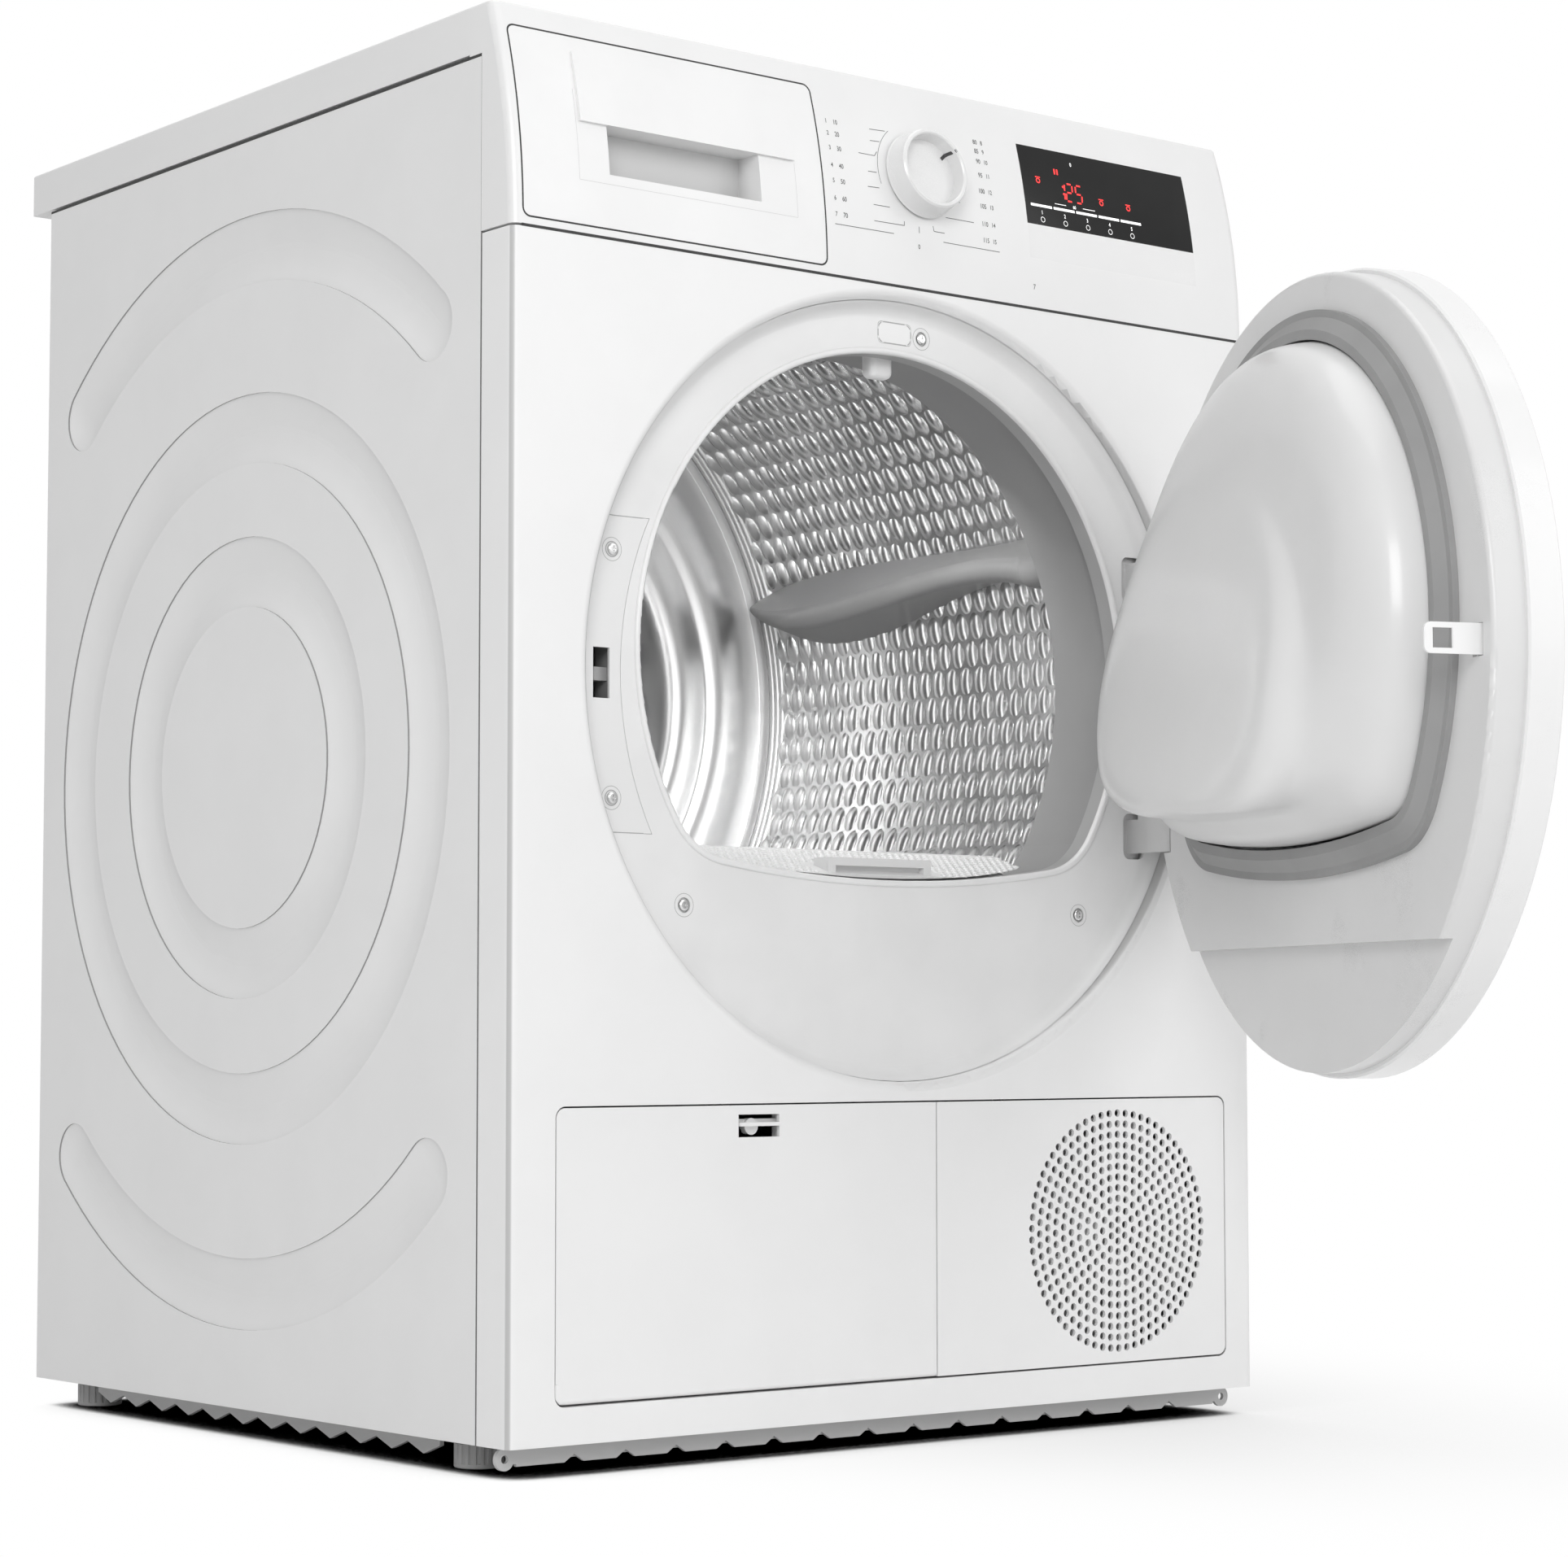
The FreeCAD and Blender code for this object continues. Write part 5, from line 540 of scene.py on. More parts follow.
def scatter(name, template, spots, finish, body):
    """One piece made of copies of the template mesh; a spot is (place, turn, size)."""
    points = bpy.data.meshes.new(name + "_spots")
    points.from_pydata([tuple(place) for place, turn, size in spots], [], [])
    for attribute, column in (("turn", 1), ("size", 2)):
        values = points.attributes.new(attribute, "FLOAT_VECTOR", "POINT")
        values.data.foreach_set("vector", [c for spot in spots for c in spot[column]])
    pattern = new_object(name + "_template", template)
    carrier = new_object(name + "_carrier", points)
    modifier = carrier.modifiers.new("repeat", "NODES")
    modifier.node_group = REPEAT
    sockets = {item.name: item.identifier for item in REPEAT.interface.items_tree
               if item.in_out == "INPUT"}
    modifier[sockets["Template"]] = pattern
    modifier[sockets["Finish"]] = FINISH[finish]
    carrier.update_tag()
    mesh = evaluated_mesh(carrier)
    mesh.name = name
    carrier.modifiers.remove(modifier)
    for thing in (pattern, carrier):
        bpy.data.objects.remove(thing)
    bpy.data.meshes.remove(points)
    bpy.data.meshes.remove(template)
    return add_piece(name, mesh, finish, body)


def bridge(form, low, high):
    """Band of faces between two closed rows of as many corners."""
    for i in range(len(low)):
        j = (i + 1) % len(low)
        form.faces.new((low[i], low[j], high[j], high[i]))


def stack(form, rings):
    """Bands between closed rings, and a lid on either end."""
    for low, high in zip(rings, rings[1:]):
        bridge(form, low, high)
    form.faces.new(rings[-1])
    form.faces.new(list(reversed(rings[0])))


def round_drum(radius, turn, y):
    """Place at a radius from the drum's axis, turned up from the right."""
    return (DRUM_MID[0] + radius * math.cos(turn), y, DRUM_MID[1] + radius * math.sin(turn))


def lathe_tube(form, profile, steps):
    """Closed ring about the drum's axis: profile is a closed list of (radius, y)."""
    rows = []
    for i in range(steps):
        turn = 2 * math.pi * i / steps
        rows.append([form.verts.new(round_drum(r, turn, y)) for r, y in profile])
    for i in range(steps):
        here, after = rows[i], rows[(i + 1) % steps]
        for k in range(len(profile)):
            m = (k + 1) % len(profile)
            form.faces.new((here[k], after[k], after[m], here[m]))


# ---------------- drum
DRUM_MID = ((DRUM_LOW.x + DRUM_HIGH.x) / 2, DRUM_AXIS_Z)
DRUM_WALL = 0.0012
DRUM_INSIDE = (DRUM_HIGH.x - DRUM_LOW.x) / 2 - DRUM_WALL
DIMPLE_LENGTH, DIMPLE_WIDTH, DIMPLE_HEIGHT = 0.0142, 0.0212, 0.0017
DIMPLE_ROWS, DIMPLE_COLUMNS = 90, 23
DIMPLE_PITCH = 0.01513
DIMPLE_FIRST = 5.49              # degrees above the horizontal of a row that starts whole
DIMPLE_START = 0.0375            # first column, behind the drum's front edge
PADDLES, PADDLE_PHASE = 3, 16.3  # phase in degrees above the horizontal
PADDLE_HALF, PADDLE_REACH = 1.6, 0.37    # foot: half its width in degrees, and its length
SKIN_DEPTH = 0.0004              # how far pieces on the wall are sunk into it


def dimple_mesh():
    """Raised oval of unit length and width whose rim is a crisp corner."""
    form = bmesh.new()
    sides = 20
    turns = [2 * math.pi * i / sides for i in range(sides)]
    rings = []
    for radius, height in ((0.5, -0.25), (0.5, 0.0), (0.492, 0.04), (0.38, 0.42), (0.22, 0.80)):
        rings.append([form.verts.new((radius * math.cos(turn), radius * math.sin(turn), height))
                      for turn in turns])
    top = form.verts.new((0, 0, 1.0))
    for low, high in zip(rings, rings[1:]):
        bridge(form, low, high)
    for i in range(sides):
        form.faces.new((rings[-1][i], rings[-1][(i + 1) % sides], top))
    form.faces.new(list(reversed(rings[0])))
    return mesh_of("dimple", form)


def under_paddle(turn_degrees, y):
    """True where a paddle's foot covers the wall wholly."""
    away = abs(math.remainder(turn_degrees - PADDLE_PHASE, 360.0 / PADDLES))
    return away < PADDLE_HALF and y < DRUM_LOW.y + PADDLE_REACH


def make_dimples():
    """Rows of ovals pressed into the drum's wall, every second row half a pitch on."""
    first_y = DRUM_LOW.y + DIMPLE_START
    spots = []
    for row in range(DIMPLE_ROWS):
        degrees = DIMPLE_FIRST + row * 360.0 / DIMPLE_ROWS
        turn = math.radians(degrees)
        for column in range(DIMPLE_COLUMNS):
            y = first_y + column * DIMPLE_PITCH + (row % 2) * DIMPLE_PITCH / 2
            if under_paddle(degrees, y):
                continue
            lean = math.atan2(-math.cos(turn), -math.sin(turn))
            spots.append((round_drum(DRUM_INSIDE, turn, y), (0.0, lean, 0.0),
                          (DIMPLE_WIDTH, DIMPLE_LENGTH, DIMPLE_HEIGHT)))
    scatter("drum_dimples", dimple_mesh(), spots, "drum_bumps", "drum")


def make_beads():
    """Fine polished beads round the rear of the drum's wall."""
    form = bmesh.new()
    count, pitch, before = 5, 0.00575, 0.0262    # the first lies this far before the rear
    bead_half, bead_height, arcs = 0.0024, 0.0016, 6
    for i in range(count):
        y = DRUM_HIGH.y - before + i * pitch
        profile = []
        for k in range(arcs + 1):
            turn = math.pi * k / arcs
            profile.append((DRUM_INSIDE - bead_height * math.sin(turn),
                            y - bead_half * math.cos(turn)))
        profile.append((DRUM_INSIDE + SKIN_DEPTH, y + bead_half))
        profile.append((DRUM_INSIDE + SKIN_DEPTH, y - bead_half))
        lathe_tube(form, profile, 200)
    add_form("drum_beads", form, "drum_back", "drum", outwards=True)


def rounded_run(corners, steps):
    """Points along a smooth curve through the corners of an open run."""
    run = []
    for i, (here, after) in enumerate(zip(corners, corners[1:])):
        before = corners[max(i - 1, 0)]
        beyond = corners[min(i + 2, len(corners) - 1)]
        for k in range(steps):
            t = k / steps
            run.append(tuple(
                a * (2 * t ** 3 - 3 * t ** 2 + 1) + b * (3 * t ** 2 - 2 * t ** 3)
                + (b - c) / 2 * (t ** 3 - 2 * t ** 2 + t) + (d - a) / 2 * (t ** 3 - t ** 2)
                for a, b, c, d in zip(here, after, before, beyond)))
    run.append(corners[-1])
    return run


def make_rear_ring():
    """Pressed ring of the drum's rear wall: a cove at the beads, then a rounded ridge
    that turns into the dish."""
    form = bmesh.new()
    outline = [(0.0010, 0.0005), (0.009, 0.0025), (0.018, 0.0085), (0.027, 0.0168),
               (0.037, 0.0255), (0.048, 0.0330), (0.058, 0.0372), (0.066, 0.0380),
               (0.0735, 0.0360), (0.0785, 0.0325), (0.0835, 0.0330), (0.0920, 0.0355),
               (0.1010, 0.0360), (0.1080, 0.0335), (0.1125, 0.0270), (0.1140, 0.0150),
               (0.1142, -0.0160)]        # inward from the wall, forward from the rear
    face = [(DRUM_INSIDE - inward, DRUM_HIGH.y - forward)
            for inward, forward in rounded_run(outline, 4)]
    back = [(r + SKIN_DEPTH, y + 0.0006) for r, y in reversed(face)]
    lathe_tube(form, face + back, 220)
    add_form("drum_rear_ring", form, "drum_back", "drum", outwards=True)


def paddle_rims():
    """Front outline of each paddle, in order round it, as (turn, reach) about the axis;
    the turn is measured from the paddle's own heading."""
    points = [vertex.co for vertex in nodes["drum_paddles"].data.vertices]
    front = min(point.y for point in points)
    rim = {tuple(round(c, 6) for c in point) for point in points
           if point.y < front + 0.00005}
    rims = []
    for k in range(PADDLES):
        heading = math.radians(PADDLE_PHASE + 360 / PADDLES * k)
        group = []
        for x, y, z in rim:
            point = (x - DRUM_MID[0], z - DRUM_MID[1])
            turn = math.remainder(math.atan2(point[1], point[0]) - heading, 2 * math.pi)
            if abs(turn) < 0.5:
                group.append((turn, math.hypot(*point)))
        middle = sum(reach for turn, reach in group) / len(group)
        group.sort(key=lambda place: math.atan2(place[1] - middle, place[0] * middle))
        rims.append((heading, group))
    return front, rims


def make_paddle_fronts():
    """The paddles' front ends, carried on forward inside the drum's front seat."""
    front, rims = paddle_rims()
    seat = DRUM_INSIDE - 0.015
    steps = ((0.0005, DRUM_INSIDE - 0.0004), (-0.006, seat), (-0.030, seat))
    form = bmesh.new()
    for heading, group in rims:
        rings = []
        for forward, limit in steps:
            rings.append([form.verts.new(round_drum(min(reach, limit), heading + turn,
                                                    front + forward))
                          for turn, reach in group])
        stack(form, rings)
    add_form("paddle_fronts", form, "paddle", "drum", smooth=False,
             outwards=True)


def welded(name):
    """Copy of a node's mesh whose loose triangles are joined up."""
    form = bmesh.new()
    form.from_mesh(nodes[name].data)
    bmesh.ops.remove_doubles(form, verts=form.verts, dist=WELD)
    return form


def loose_boxes(name):
    """Lowest and highest corner of each separate solid of a node."""
    form = welded(name)
    seen, boxes = set(), []
    for first in form.verts:
        solid = [] if first in seen else [first]
        seen.update(solid)
        for vertex in solid:         # the list grows by each corner's neighbours
            ends = [edge.other_vert(vertex) for edge in vertex.link_edges]
            solid += [end for end in ends if end not in seen]
            seen.update(ends)
        if solid:
            boxes.append([Vector(pick(vertex.co[axis] for vertex in solid) for axis in range(3))
                          for pick in (min, max)])
    form.free()
    return boxes


def make_lamp():
    """Lamp with rounded corners under the throat's top, and its cover in the bezel."""
    boxes = sorted(loose_boxes("drum_lamp"), key=lambda box: box[0].y)
    cover, lamp = boxes[0], boxes[-1]
    form = welded("drum_lamp")
    behind = [v for v in form.verts if v.co.y > cover[1].y + 0.0002]
    bmesh.ops.delete(form, geom=behind, context="VERTS")
    low = Vector((lamp[1].x - 0.0250, lamp[0].y, lamp[0].z + 0.0030))
    high = Vector((lamp[1].x - 0.0060, lamp[0].y + 0.0120, lamp[1].z))
    size = high - low                # of the lamp's block, clear of its holder's ends
    shape = Matrix.Translation((low + high) / 2) @ Matrix.Diagonal((*size, 1.0))
    made = bmesh.ops.create_cube(form, size=1.0, matrix=shape)
    edges = {edge for vertex in made["verts"] for edge in vertex.link_edges}
    bmesh.ops.bevel(form, geom=list(edges), offset=0.0045, segments=5, profile=0.5,
                    affect="EDGES")
    piece = add_form("lamp_and_cover", form, "lamp", "cabinet", smooth=False)
    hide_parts("drum_lamp")


def middle_of(low, high):
    """Middle of a box as seen from the front, in mm."""
    return (low.x + high.x) / 2 / MM, (low.z + high.z) / 2 / MM


def rounded_path(low, high, radius, margin=0.0):
    """Rounded rectangle round a box seen from the front, in mm, from its low left corner
    by the low right one."""
    low_x, low_z = low.x / MM - margin, low.z / MM - margin
    high_x, high_z = high.x / MM + margin, high.z / MM + margin
    corners = ((low_x, low_z, 180), (high_x, low_z, 270), (high_x, high_z, 0),
               (low_x, high_z, 90))
    path = []
    for x, z, start in corners:
        mid_x = x + (radius if x == low_x else -radius)
        mid_z = z + (radius if z == low_z else -radius)
        for k in range(7):
            turn = math.radians(start + 15 * k)
            path.append((mid_x + radius * math.cos(turn), mid_z + radius * math.sin(turn)))
    return path


def make_bezel_lines():
    """Painted shade of the grooves round the bezel's screws, its catch insert and its lamp cover,
    as dark lines laid on the skin.
    """
    sheet = Print(Skin("porthole_bezel", "latch_insert", "drum_lamp", "bezel_screws",
                       "front_throat", "front_panel"))
    for low, high in loose_boxes("bezel_screws"):
        head = (high.x - low.x) / 2 / MM
        x, z = middle_of(low, high)
        sheet.ring(x, z, head + 0.9, 0.7, steps=28)
        sheet.ring(x, z, head + 3.4, 0.35, steps=32)
    low, high = min(loose_boxes("drum_lamp"), key=lambda box: box[0].y)
    path = rounded_path(low, high, 5.0)
    sheet.line(path + path[:1], 0.8)
    outline_of_insert(sheet)
    sheet.piece("bezel_lines", "groove")


def outline_of_insert(sheet):
    """Painted shade of the joint round the plate beside the catch, read from the rim of its front
    face.
    """
    form = welded("latch_insert")
    face_y = min(vertex.co.y for vertex in form.verts) + 0.00005
    front = [face for face in form.faces if all(v.co.y < face_y for v in face.verts)]
    counts = Counter(edge for face in front for edge in face.edges)
    edges = [[(v.co.x / MM, v.co.z / MM) for v in edge.verts]
             for edge, count in counts.items() if count == 1]
    form.free()
    middle = middle_of(*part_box("porthole_bezel"))
    reaches = [math.dist(end, middle) for ends in edges for end in ends]
    levels = [end[1] for ends in edges for end in ends]
    for ends in edges:
        at_rim = all(min(math.dist(end, middle) - min(reaches),
                         max(reaches) - math.dist(end, middle),
                         end[1] - min(levels), max(levels) - end[1]) < 1.0 for end in ends)
        if at_rim and math.dist(*ends) > 0.02:
            sheet.line(ends, 0.6)


def lozenge_mesh():
    """Small raised pad between the holes of the filter's cover."""
    form = bmesh.new()
    low = [form.verts.new(c) for c in ((-0.5, 0, -0.3), (0, -0.5, -0.3), (0.5, 0, -0.3),
                                       (0, 0.5, -0.3))]
    high = [form.verts.new((v.co.x * 0.8, v.co.y * 0.8, 1.0)) for v in low]
    stack(form, (low, high))
    return mesh_of("lozenge", form)


def make_filter_lattice():
    """Lattice of small pads over the sloping cover of the lint filter, all but its grip."""
    skin = Skin("lint_filter")
    low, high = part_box("lint_filter")
    first_y, last_y = low.y + 0.003, high.y - 0.003
    pitch_x, pitch_y, pad = 0.0058, 0.0046, (0.0050, 0.0040, 0.0006)
    grip_half, grip_rows, columns = 0.052, 5, 24
    above = 0.42
    spots = []
    rows = int((last_y - first_y) / pitch_y)
    for row in range(rows + 1):
        y = first_y + row * pitch_y
        shift = (row % 2) * pitch_x / 2
        for column in range(-columns, columns + 1):
            x = column * pitch_x + shift
            if abs(x) < grip_half and row < grip_rows:
                continue
            place = skin.tree.ray_cast(Vector((x, y, above)), Vector((0, 0, -1)))
            if place[0] is None or place[1].z < 0.8 or place[0].z < high.z - 0.03:
                continue
            lean = math.atan2(-place[1].y, place[1].z)
            spots.append((place[0], (lean, 0.0, 0.0), pad))
    scatter("filter_lattice", lozenge_mesh(), spots, "filter_pads", "filter")


# ---------------- door bowl
DOOR_OPEN = math.radians(68.3)
HINGE = Vector((0.225, -0.3245, 0.0))
BOWL_MID = Vector((0.010, -0.2865, 0.462))       # inside the bowl, door closed
BOWL_AROUND, BOWL_UP = 200, 72                   # columns and rows of its skin
BOWL_LOWEST = math.radians(-3.6)                 # the first row, seen from the middle
BOWL_WALL, BOWL_SINK = 0.0022, 0.0065            # sink: into the door's inner frame
NOSE_MID = (0.030, 0.440)
NOSE_RADII, SHOULDER_RADII = (0.132, 0.131), (0.205, 0.240)
FOLD_DEPTH, FOLD_RIDGE, FOLD_CLEAR = 0.0120, 0.0020, math.radians(20.0)
FOLD_HEADING, FOLD_SPREAD = math.radians(143.0), math.radians(72.0)


def swing(point):
    """Point of the closed door, moved to where the door stands."""
    away = Vector(point) - HINGE
    away.rotate(Euler((0, 0, DOOR_OPEN)))
    return HINGE + away


def bowl_rise(row):
    """Angle at which the bowl's middle sees a row of its skin."""
    return BOWL_LOWEST + (math.pi / 2 - BOWL_LOWEST) * row / BOWL_UP


def bowl_rays():
    """Directions from the bowl's middle, in rows, the last one being its axis."""
    rays = []
    for j in range(BOWL_UP):
        rise = bowl_rise(j)
        turns = (2 * math.pi * i / BOWL_AROUND for i in range(BOWL_AROUND))
        rays.append([Vector((math.cos(rise) * math.cos(turn), math.sin(rise),
                             math.cos(rise) * math.sin(turn))) for turn in turns])
    rays.append([Vector((0, 1, 0))])
    for ray in (ray for row in rays for ray in row):
        ray.rotate(Euler((0, 0, DOOR_OPEN)))
    return rays


def make_bowl():
    """Smooth skin over the door's bowl: looked at from its middle all round, evened
    out, and given the wall's thickness."""
    skin = Skin("door_bowl")
    middle = swing(BOWL_MID)
    reach = 0.40
    *ways, (top_way,) = bowl_rays()
    lengths = np.array([[(skin.hit(middle + way * reach, -way) - middle).length
                         for way in row] for row in ways])
    smooth_bowl(lengths)
    fold_bowl(lengths)
    form = bmesh.new()
    inward = swing(Vector((0, -BOWL_SINK, 0))) - swing(Vector((0, 0, 0)))
    rows = [[form.verts.new(middle + way * length + inward)
             for way, length in zip(ways[0], lengths[0])]]
    for row, radii in zip(ways, lengths):
        rows.append([form.verts.new(middle + way * length)
                     for way, length in zip(row, radii)])
    top = form.verts.new(middle + top_way * float(np.mean(lengths[-1])))
    for low, high in zip(rows, rows[1:]):
        for i in range(BOWL_AROUND):
            k = (i + 1) % BOWL_AROUND
            form.faces.new((low[i], high[i], high[k], low[k]))
    for i in range(BOWL_AROUND):
        form.faces.new((rows[-1][i], top, rows[-1][(i + 1) % BOWL_AROUND]))
    bowl = add_form("bowl_skin", form, "bowl", "door")
    wall = bowl.modifiers.new("wall", "SOLIDIFY")
    wall.thickness = BOWL_WALL
    wall.offset = -1.0
    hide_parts("door_bowl")


def fold_bowl(lengths):
    """Hollow between the bowl's nose and its shoulder, fading out towards the hinge."""
    for j in range(BOWL_UP):
        rise = bowl_rise(j)
        for i in range(BOWL_AROUND):
            turn = 2 * math.pi * i / BOWL_AROUND
            x = BOWL_MID.x + lengths[j, i] * math.cos(rise) * math.cos(turn) - NOSE_MID[0]
            z = BOWL_MID.z + lengths[j, i] * math.cos(rise) * math.sin(turn) - NOSE_MID[1]
            heading = math.atan2(z, x)
            nose, shoulder = (1 / math.hypot(math.cos(heading) / a, math.sin(heading) / b)
                              for a, b in (NOSE_RADII, SHOULDER_RADII))
            share = (math.hypot(x, z) - nose) / (shoulder - nose)
            off = abs(math.remainder(heading - FOLD_HEADING, 2 * math.pi)) / FOLD_SPREAD
            foot = min(1.0, (rise - BOWL_LOWEST) / FOLD_CLEAR) ** 2
            weight = foot / (1.0 + off ** 8)
            hollow = FOLD_DEPTH * math.exp(-((share - 0.42) / 0.30) ** 2)
            ridge = FOLD_RIDGE * math.exp(-((share - 1.0) / 0.16) ** 2)
            lengths[j, i] += weight * (ridge - hollow)


def smooth_bowl(lengths):
    """Rounds the creases between the bowl's bands; the foot stays where it is."""
    for k in range(16):
        held = lengths.copy()
        above = np.vstack([lengths[1:], np.full((1, lengths.shape[1]), lengths[-1].mean())])
        below = np.vstack([lengths[:1], lengths[:-1]])
        left = np.roll(lengths, 1, axis=1)
        right = np.roll(lengths, -1, axis=1)
        lengths += 0.5 * ((above + below + left + right) / 4 - lengths)
        lengths[0] = held[0]
        lengths[1] = 0.5 * (lengths[1] + held[1])


# ---------------- prints
def print_figures(skin):
    """Plain numbers beside the marks round the knob."""
    ink = Print(skin)
    left_rows = (818.0, 810.0, 800.4, 789.0, 779.0, 767.8, 757.4)
    right_rows = (823.6, 817.4, 810.4, 801.0, 790.2, 780.0, 768.2, 757.4)
    for i, z in enumerate(left_rows):
        ink.text(str(10 * (i + 1)), -50.6, z - 1.5, 3.1, "LEFT")
        ink.text(str(i + 1), -57.0, z - 1.4, 2.9, "LEFT")
    for i, z in enumerate(right_rows):
        ink.text(str(80 + 5 * i), 70.6, z - 1.5, 3.1, "RIGHT")
        ink.text(str(i + 8), 73.4, z - 1.4, 2.9, "LEFT")
    ink.text("0", 10.5, 744.0, 3.0)
    ink.text("7", 107.0, 730.6, 3.4, "LEFT")
    ink.piece("console_figures", "ink")


def print_leaders(skin):
    """Fine lines from the numbers to the knob, two rules below and an arc beside it."""
    fine = Print(skin)
    leaders = [[(-21.0, 818.0), (-8.0, 818.6)], [(-22.0, 810.2), (-14.0, 810.6)],
               [(-33.0, 800.4), (-20.0, 800.4), (-17.6, 803.4)],
               [(-27.0, 789.2), (-20.0, 789.4)],
               [(-28.6, 779.0), (-19.2, 779.4)], [(-25.2, 767.8), (-12.0, 767.9)],
               [(-25.6, 757.3), (-1.0, 757.6), (-0.8, 760.4)],
               [(54.0, 801.0), (50.0, 801.2)], [(48.9, 791.9), (45.6, 792.2)],
               [(48.0, 779.6), (43.6, 779.8)], [(58.3, 767.8), (34.5, 767.8)],
               [(32.5, 757.2), (23.6, 757.2), (23.1, 760.6)],
               [(11.3, 758.6), (11.2, 754.4)]]
    rules = [[(-57.7, 750.9), (-10.0, 751.2)], [(31.0, 751.2), (78.8, 751.2)]]
    for run in leaders + rules:
        fine.line(run, 0.45)
    fine.ring(16.0, 792.0, 34.5, 0.32, 128, 196, 26)
    fine.piece("console_lines", "ink_pale")


def print_keys(skin):
    """White bars, numbers and rings over the keys, and small marks in the window."""
    lit = Print(skin)
    first, pitch, wide = 110.3, 20.1, 18.6
    low, high = 787.0, 788.7
    for i in range(5):
        x = first + i * pitch
        lit.shape([(x, low), (x + wide, low), (x + wide, high), (x, high)])
        lit.text(str(i + 1), x + wide / 2, 782.2, 2.6)
        lit.ring(x + wide / 2, 778.6, 1.7, 0.35, steps=14)
    lit.line([(132.0, 791.2), (142.0, 791.2)], 0.4)
    lit.line([(157.0, 791.2), (168.0, 791.2)], 0.4)
    lit.text("60", 149.5, 789.9, 2.2)
    lit.text("0", 152.0, 819.6, 2.6)
    lit.piece("display_bars", "white_light")


def print_digits(skin):
    """The window's red digits with their colon, and its red marks."""
    red = Print(skin)
    for digit, x in (("1", 136.6), ("2", 143.4), ("5", 151.8)):
        lit_digit(red, digit, x, 794.6)
    for z in (799.0, 804.0):
        red.ring(141.6, z, 0.45, 0.9, steps=8)
    for x, z in ((119.8, 805.2), (174.9, 797.6), (199.4, 797.4)):
        red.ring(x, z, 1.5, 0.8, steps=12)
        red.line([(x - 2.2, z + 2.4), (x + 2.2, z + 2.4)], 0.7)
    for x in (136.0, 138.4):
        red.line([(x, 811.8), (x, 815.6)], 1.3)
    red.piece("display_digits", "red_light")


def make_console_prints():
    """Everything printed on the console or lit in its window; x and z in mm."""
    skin = Skin("control_panel", "display_window", "key_strip", "container_front")
    for draw in (print_figures, print_leaders, print_keys, print_digits):
        draw(skin)


def lit_digit(sheet, digit, x, z):
    """Slanted digit made of up to seven bars, parted by small gaps."""
    wide, high, bar, slant, gap = 5.4, 12.0, 1.15, 0.10, 0.9
    middle = high / 2
    bars = {"a": ((0, high), (wide, high)), "b": ((wide, middle), (wide, high)),
            "c": ((wide, 0), (wide, middle)), "d": ((0, 0), (wide, 0)),
            "e": ((0, 0), (0, middle)), "f": ((0, middle), (0, high)),
            "g": ((0, middle), (wide, middle))}
    shapes = {"1": "bc", "2": "abged", "5": "afgcd"}
    for letter in shapes[digit]:
        (x0, z0), (x1, z1) = bars[letter]
        length = math.hypot(x1 - x0, z1 - z0)
        cut_x, cut_z = (x1 - x0) / length * gap, (z1 - z0) / length * gap
        sheet.line([(x + x0 + cut_x + slant * (z0 + cut_z), z + z0 + cut_z),
                    (x + x1 - cut_x + slant * (z1 - cut_z), z + z1 - cut_z)], bar)


def make_seams():
    """Shadow in the narrow gaps round the container's front and under the console."""
    sheet = Print(Skin("front_panel", "control_panel", "container_front"))
    half_gap, corner = 0.5, 5.0
    path = rounded_path(*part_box("container_front"), corner, half_gap)
    sheet.line(path[9:] + path[:10], 1.1)
    panel_low, panel_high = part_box("control_panel")
    level = (panel_low.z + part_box("front_panel")[1].z) / 2 / MM
    reach = panel_high.x / MM - 6.0
    sheet.line([(-reach, level), (reach, level)], 1.8)
    sheet.piece("console_seams", "dark_gap")


def make_side_seams():
    """Shadow in the gap between each side panel and the worktop."""
    form = bmesh.new()
    gap, lift = 0.0016, 0.00006
    for name, way in (("side_panel_left", -1), ("side_panel_right", 1)):
        low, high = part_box(name)
        x = (low.x if way < 0 else high.x) + way * lift
        corners = [(x, low.y, high.z - gap), (x, high.y, high.z - gap),
                   (x, high.y, high.z), (x, low.y, high.z)]
        if way < 0:
            corners.reverse()
        form.faces.new([form.verts.new(corner) for corner in corners])
    add_form("side_seams", form, "dark_gap", "cabinet", smooth=False)


def make_knob_mark():
    """Dark bar on the knob's rim that points to the programme."""
    mark = Print(Skin("program_knob"), 0.00012)
    x, z = middle_of(*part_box("program_knob"))
    turn = math.radians(41.0)
    inner, outer, runs = 17.6, 25.6, 8
    reaches = [inner + (outer - inner) * i / runs for i in range(runs + 1)]
    mark.line([(x + math.cos(turn) * reach, z + math.sin(turn) * reach)
               for reach in reaches], 2.3)
    mark.piece("knob_mark", "ink", "knob")


def make_grip_lines():
    """Painted shade in the fine joint round the container's grip plate."""
    left, right, low = -251.0, -87.0, 750.6
    joint = Print(Skin("container_front"), 0.00005)
    # painted shade: a thin grey line along the joint
    joint.line([(left, 806.0), (left, low), (right, low), (right, 785.0)], 0.30)
    joint.piece("grip_joint", "joint", "container")


dress_container()
make_dimples()
make_beads()
make_rear_ring()
make_paddle_fronts()
make_bezel_lines()
make_lamp()
make_filter_lattice()
make_bowl()
make_console_prints()
make_knob_mark()
make_grip_lines()
make_seams()
make_side_seams()


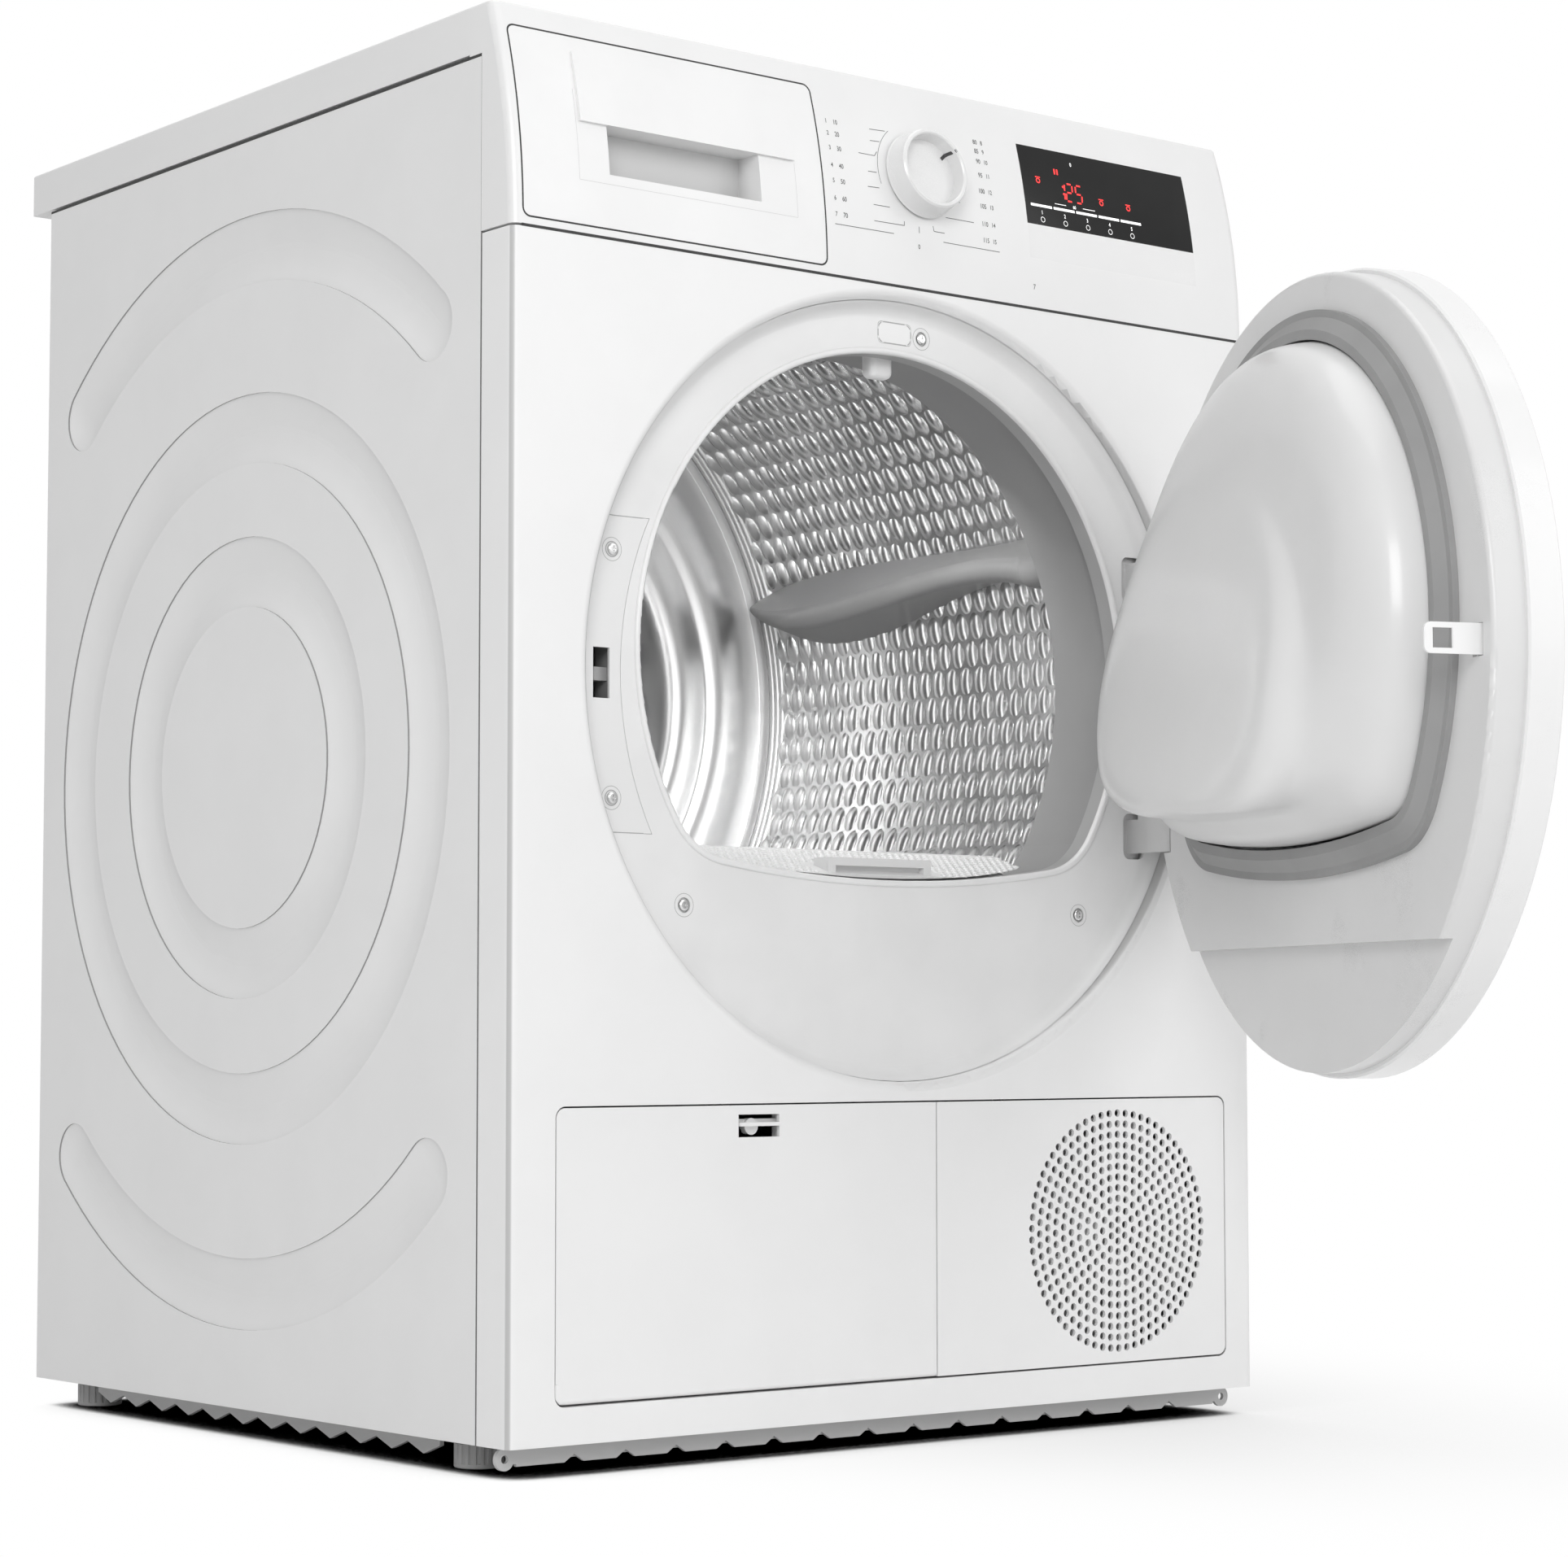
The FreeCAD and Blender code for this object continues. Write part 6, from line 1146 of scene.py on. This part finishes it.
# ---------------- stage
def make_floor():
    """Plain white floor that fades into the white surroundings away from the dryer. The rays that
    see it get white light with a painted contact shadow under the dryer and a painted soft shadow
    on its right, both from ambient occlusion; other rays get a pale floor.
    """
    half = 9.0
    near, far = 0.10, 0.50           # reach of the dark contact and of the soft shadow
    mesh = bpy.data.meshes.new("floor")
    corners = [(-half, -half, 0), (half, -half, 0), (half, half, 0), (-half, half, 0)]
    mesh.from_pydata(corners, [], [(0, 1, 2, 3)])
    floor = new_object("floor", mesh)
    shader = Shader("floor", Roughness=0.6)
    shader.skin.inputs["Base Color"].default_value = tone(0.93)
    close = shader.add("AmbientOcclusion", {"Distance": near}, samples=12)
    under = shader.ramp(close.outputs["AO"], 0.26, 0.56, smooth=True)
    around = shader.add("AmbientOcclusion", {"Distance": far}, samples=12)
    soft = shader.ramp(around.outputs["AO"], 0.45, 0.97, 0.80, 1.0, smooth=True)
    point = shader.add("TexCoord", {}).outputs["Object"]
    side = shader.ramp(shader.add("SeparateXYZ", {"Vector": point}).outputs["X"],
                       -0.25, 0.25, smooth=True)
    # painted shadow: the floor's white light is dimmed by the contact shadow, and on the right
    # side by the soft one
    light = shader.math("MULTIPLY", under, shader.ramp(side, 0.0, 1.0, 1.0, soft))
    white = shader.add("Emission", {"Color": (1, 1, 1, 1), "Strength": light})
    shader.show("Material Output", shader.skin.outputs[0], white.outputs[0])
    mesh.materials.append(shader.material)


def make_world():
    """White surroundings; what they shed on the dryer is a plain soft light."""
    world = bpy.data.worlds.new("studio")
    bpy.context.scene.world = world
    sky = Shader("studio", world)
    soft, white = (sky.add("Background", {"Color": (1, 1, 1, 1), "Strength": strength})
                   for strength in (0.42, 1.0))
    sky.show("World Output", soft.outputs[0], white.outputs[0])


def make_softbox(name, place, aim, size, power):
    """Rectangular lamp that lights the dryer and isn't seen itself."""
    lamp = bpy.data.lights.new(name, "AREA")
    lamp.shape = "RECTANGLE"
    lamp.size, lamp.size_y = size
    lamp.energy = power
    box = new_object(name, lamp)
    box.location = place
    box.visible_camera = False
    box.rotation_mode = "QUATERNION"
    box.rotation_quaternion = (Vector(aim) - Vector(place)).to_track_quat("-Z", "Y")


def make_camera():
    """The photo's viewpoint, solved from the cabinet's edges."""
    azimuth, elevation, roll = (math.radians(a) for a in (38.691, 3.910, 0.043))
    forward = Vector((math.sin(azimuth) * math.cos(elevation),
                      math.cos(azimuth) * math.cos(elevation), math.sin(elevation)))
    data = bpy.data.cameras.new("camera")
    data.sensor_width = 36.0
    data.lens = 84.42
    data.clip_end = 50.0
    camera = new_object("camera", data)
    camera.location = (-1.4836, -2.0347, 0.2543)
    camera.rotation_mode = "QUATERNION"
    turn = Quaternion((0, 0, 1), -roll)
    camera.rotation_quaternion = forward.to_track_quat("-Z", "Y") @ turn
    bpy.context.scene.camera = camera


# name: place, aim, width and height, watts; drum, wall, mouth and low box stand inside
SOFTBOXES = {
    "front_box": ((1.3, -3.0, 1.7), (0.1, -0.3, 0.45), (2.4, 2.4), 22.0),
    "top_box": ((0.0, -0.3, 3.2), (0.0, 0.0, 0.4), (2.6, 2.2), 24.0),
    "drum_box": ((0.0, -0.185, 0.655), (0.02, 0.06, 0.46), (0.26, 0.05), 1.1),
    "wall_box": ((-0.06, 0.13, 0.49), (0.26, -0.10, 0.49), (0.06, 0.40), 0.13),
    "mouth_box": ((-0.12, -0.16, 0.50), (-0.02, 0.20, 0.49), (0.16, 0.34), 0.26),
    "low_box": ((0.02, -0.12, 0.30), (0.20, 0.02, 0.52), (0.22, 0.10), 0.06),
    "left_box": ((-2.2, -2.6, 1.6), (-0.2, -0.2, 0.42), (1.3, 1.3), 41.0),
}

make_floor()
make_world()
for box_name, settings in SOFTBOXES.items():
    make_softbox(box_name, *settings)
make_camera()
bpy.context.scene.view_settings.view_transform = "Standard"
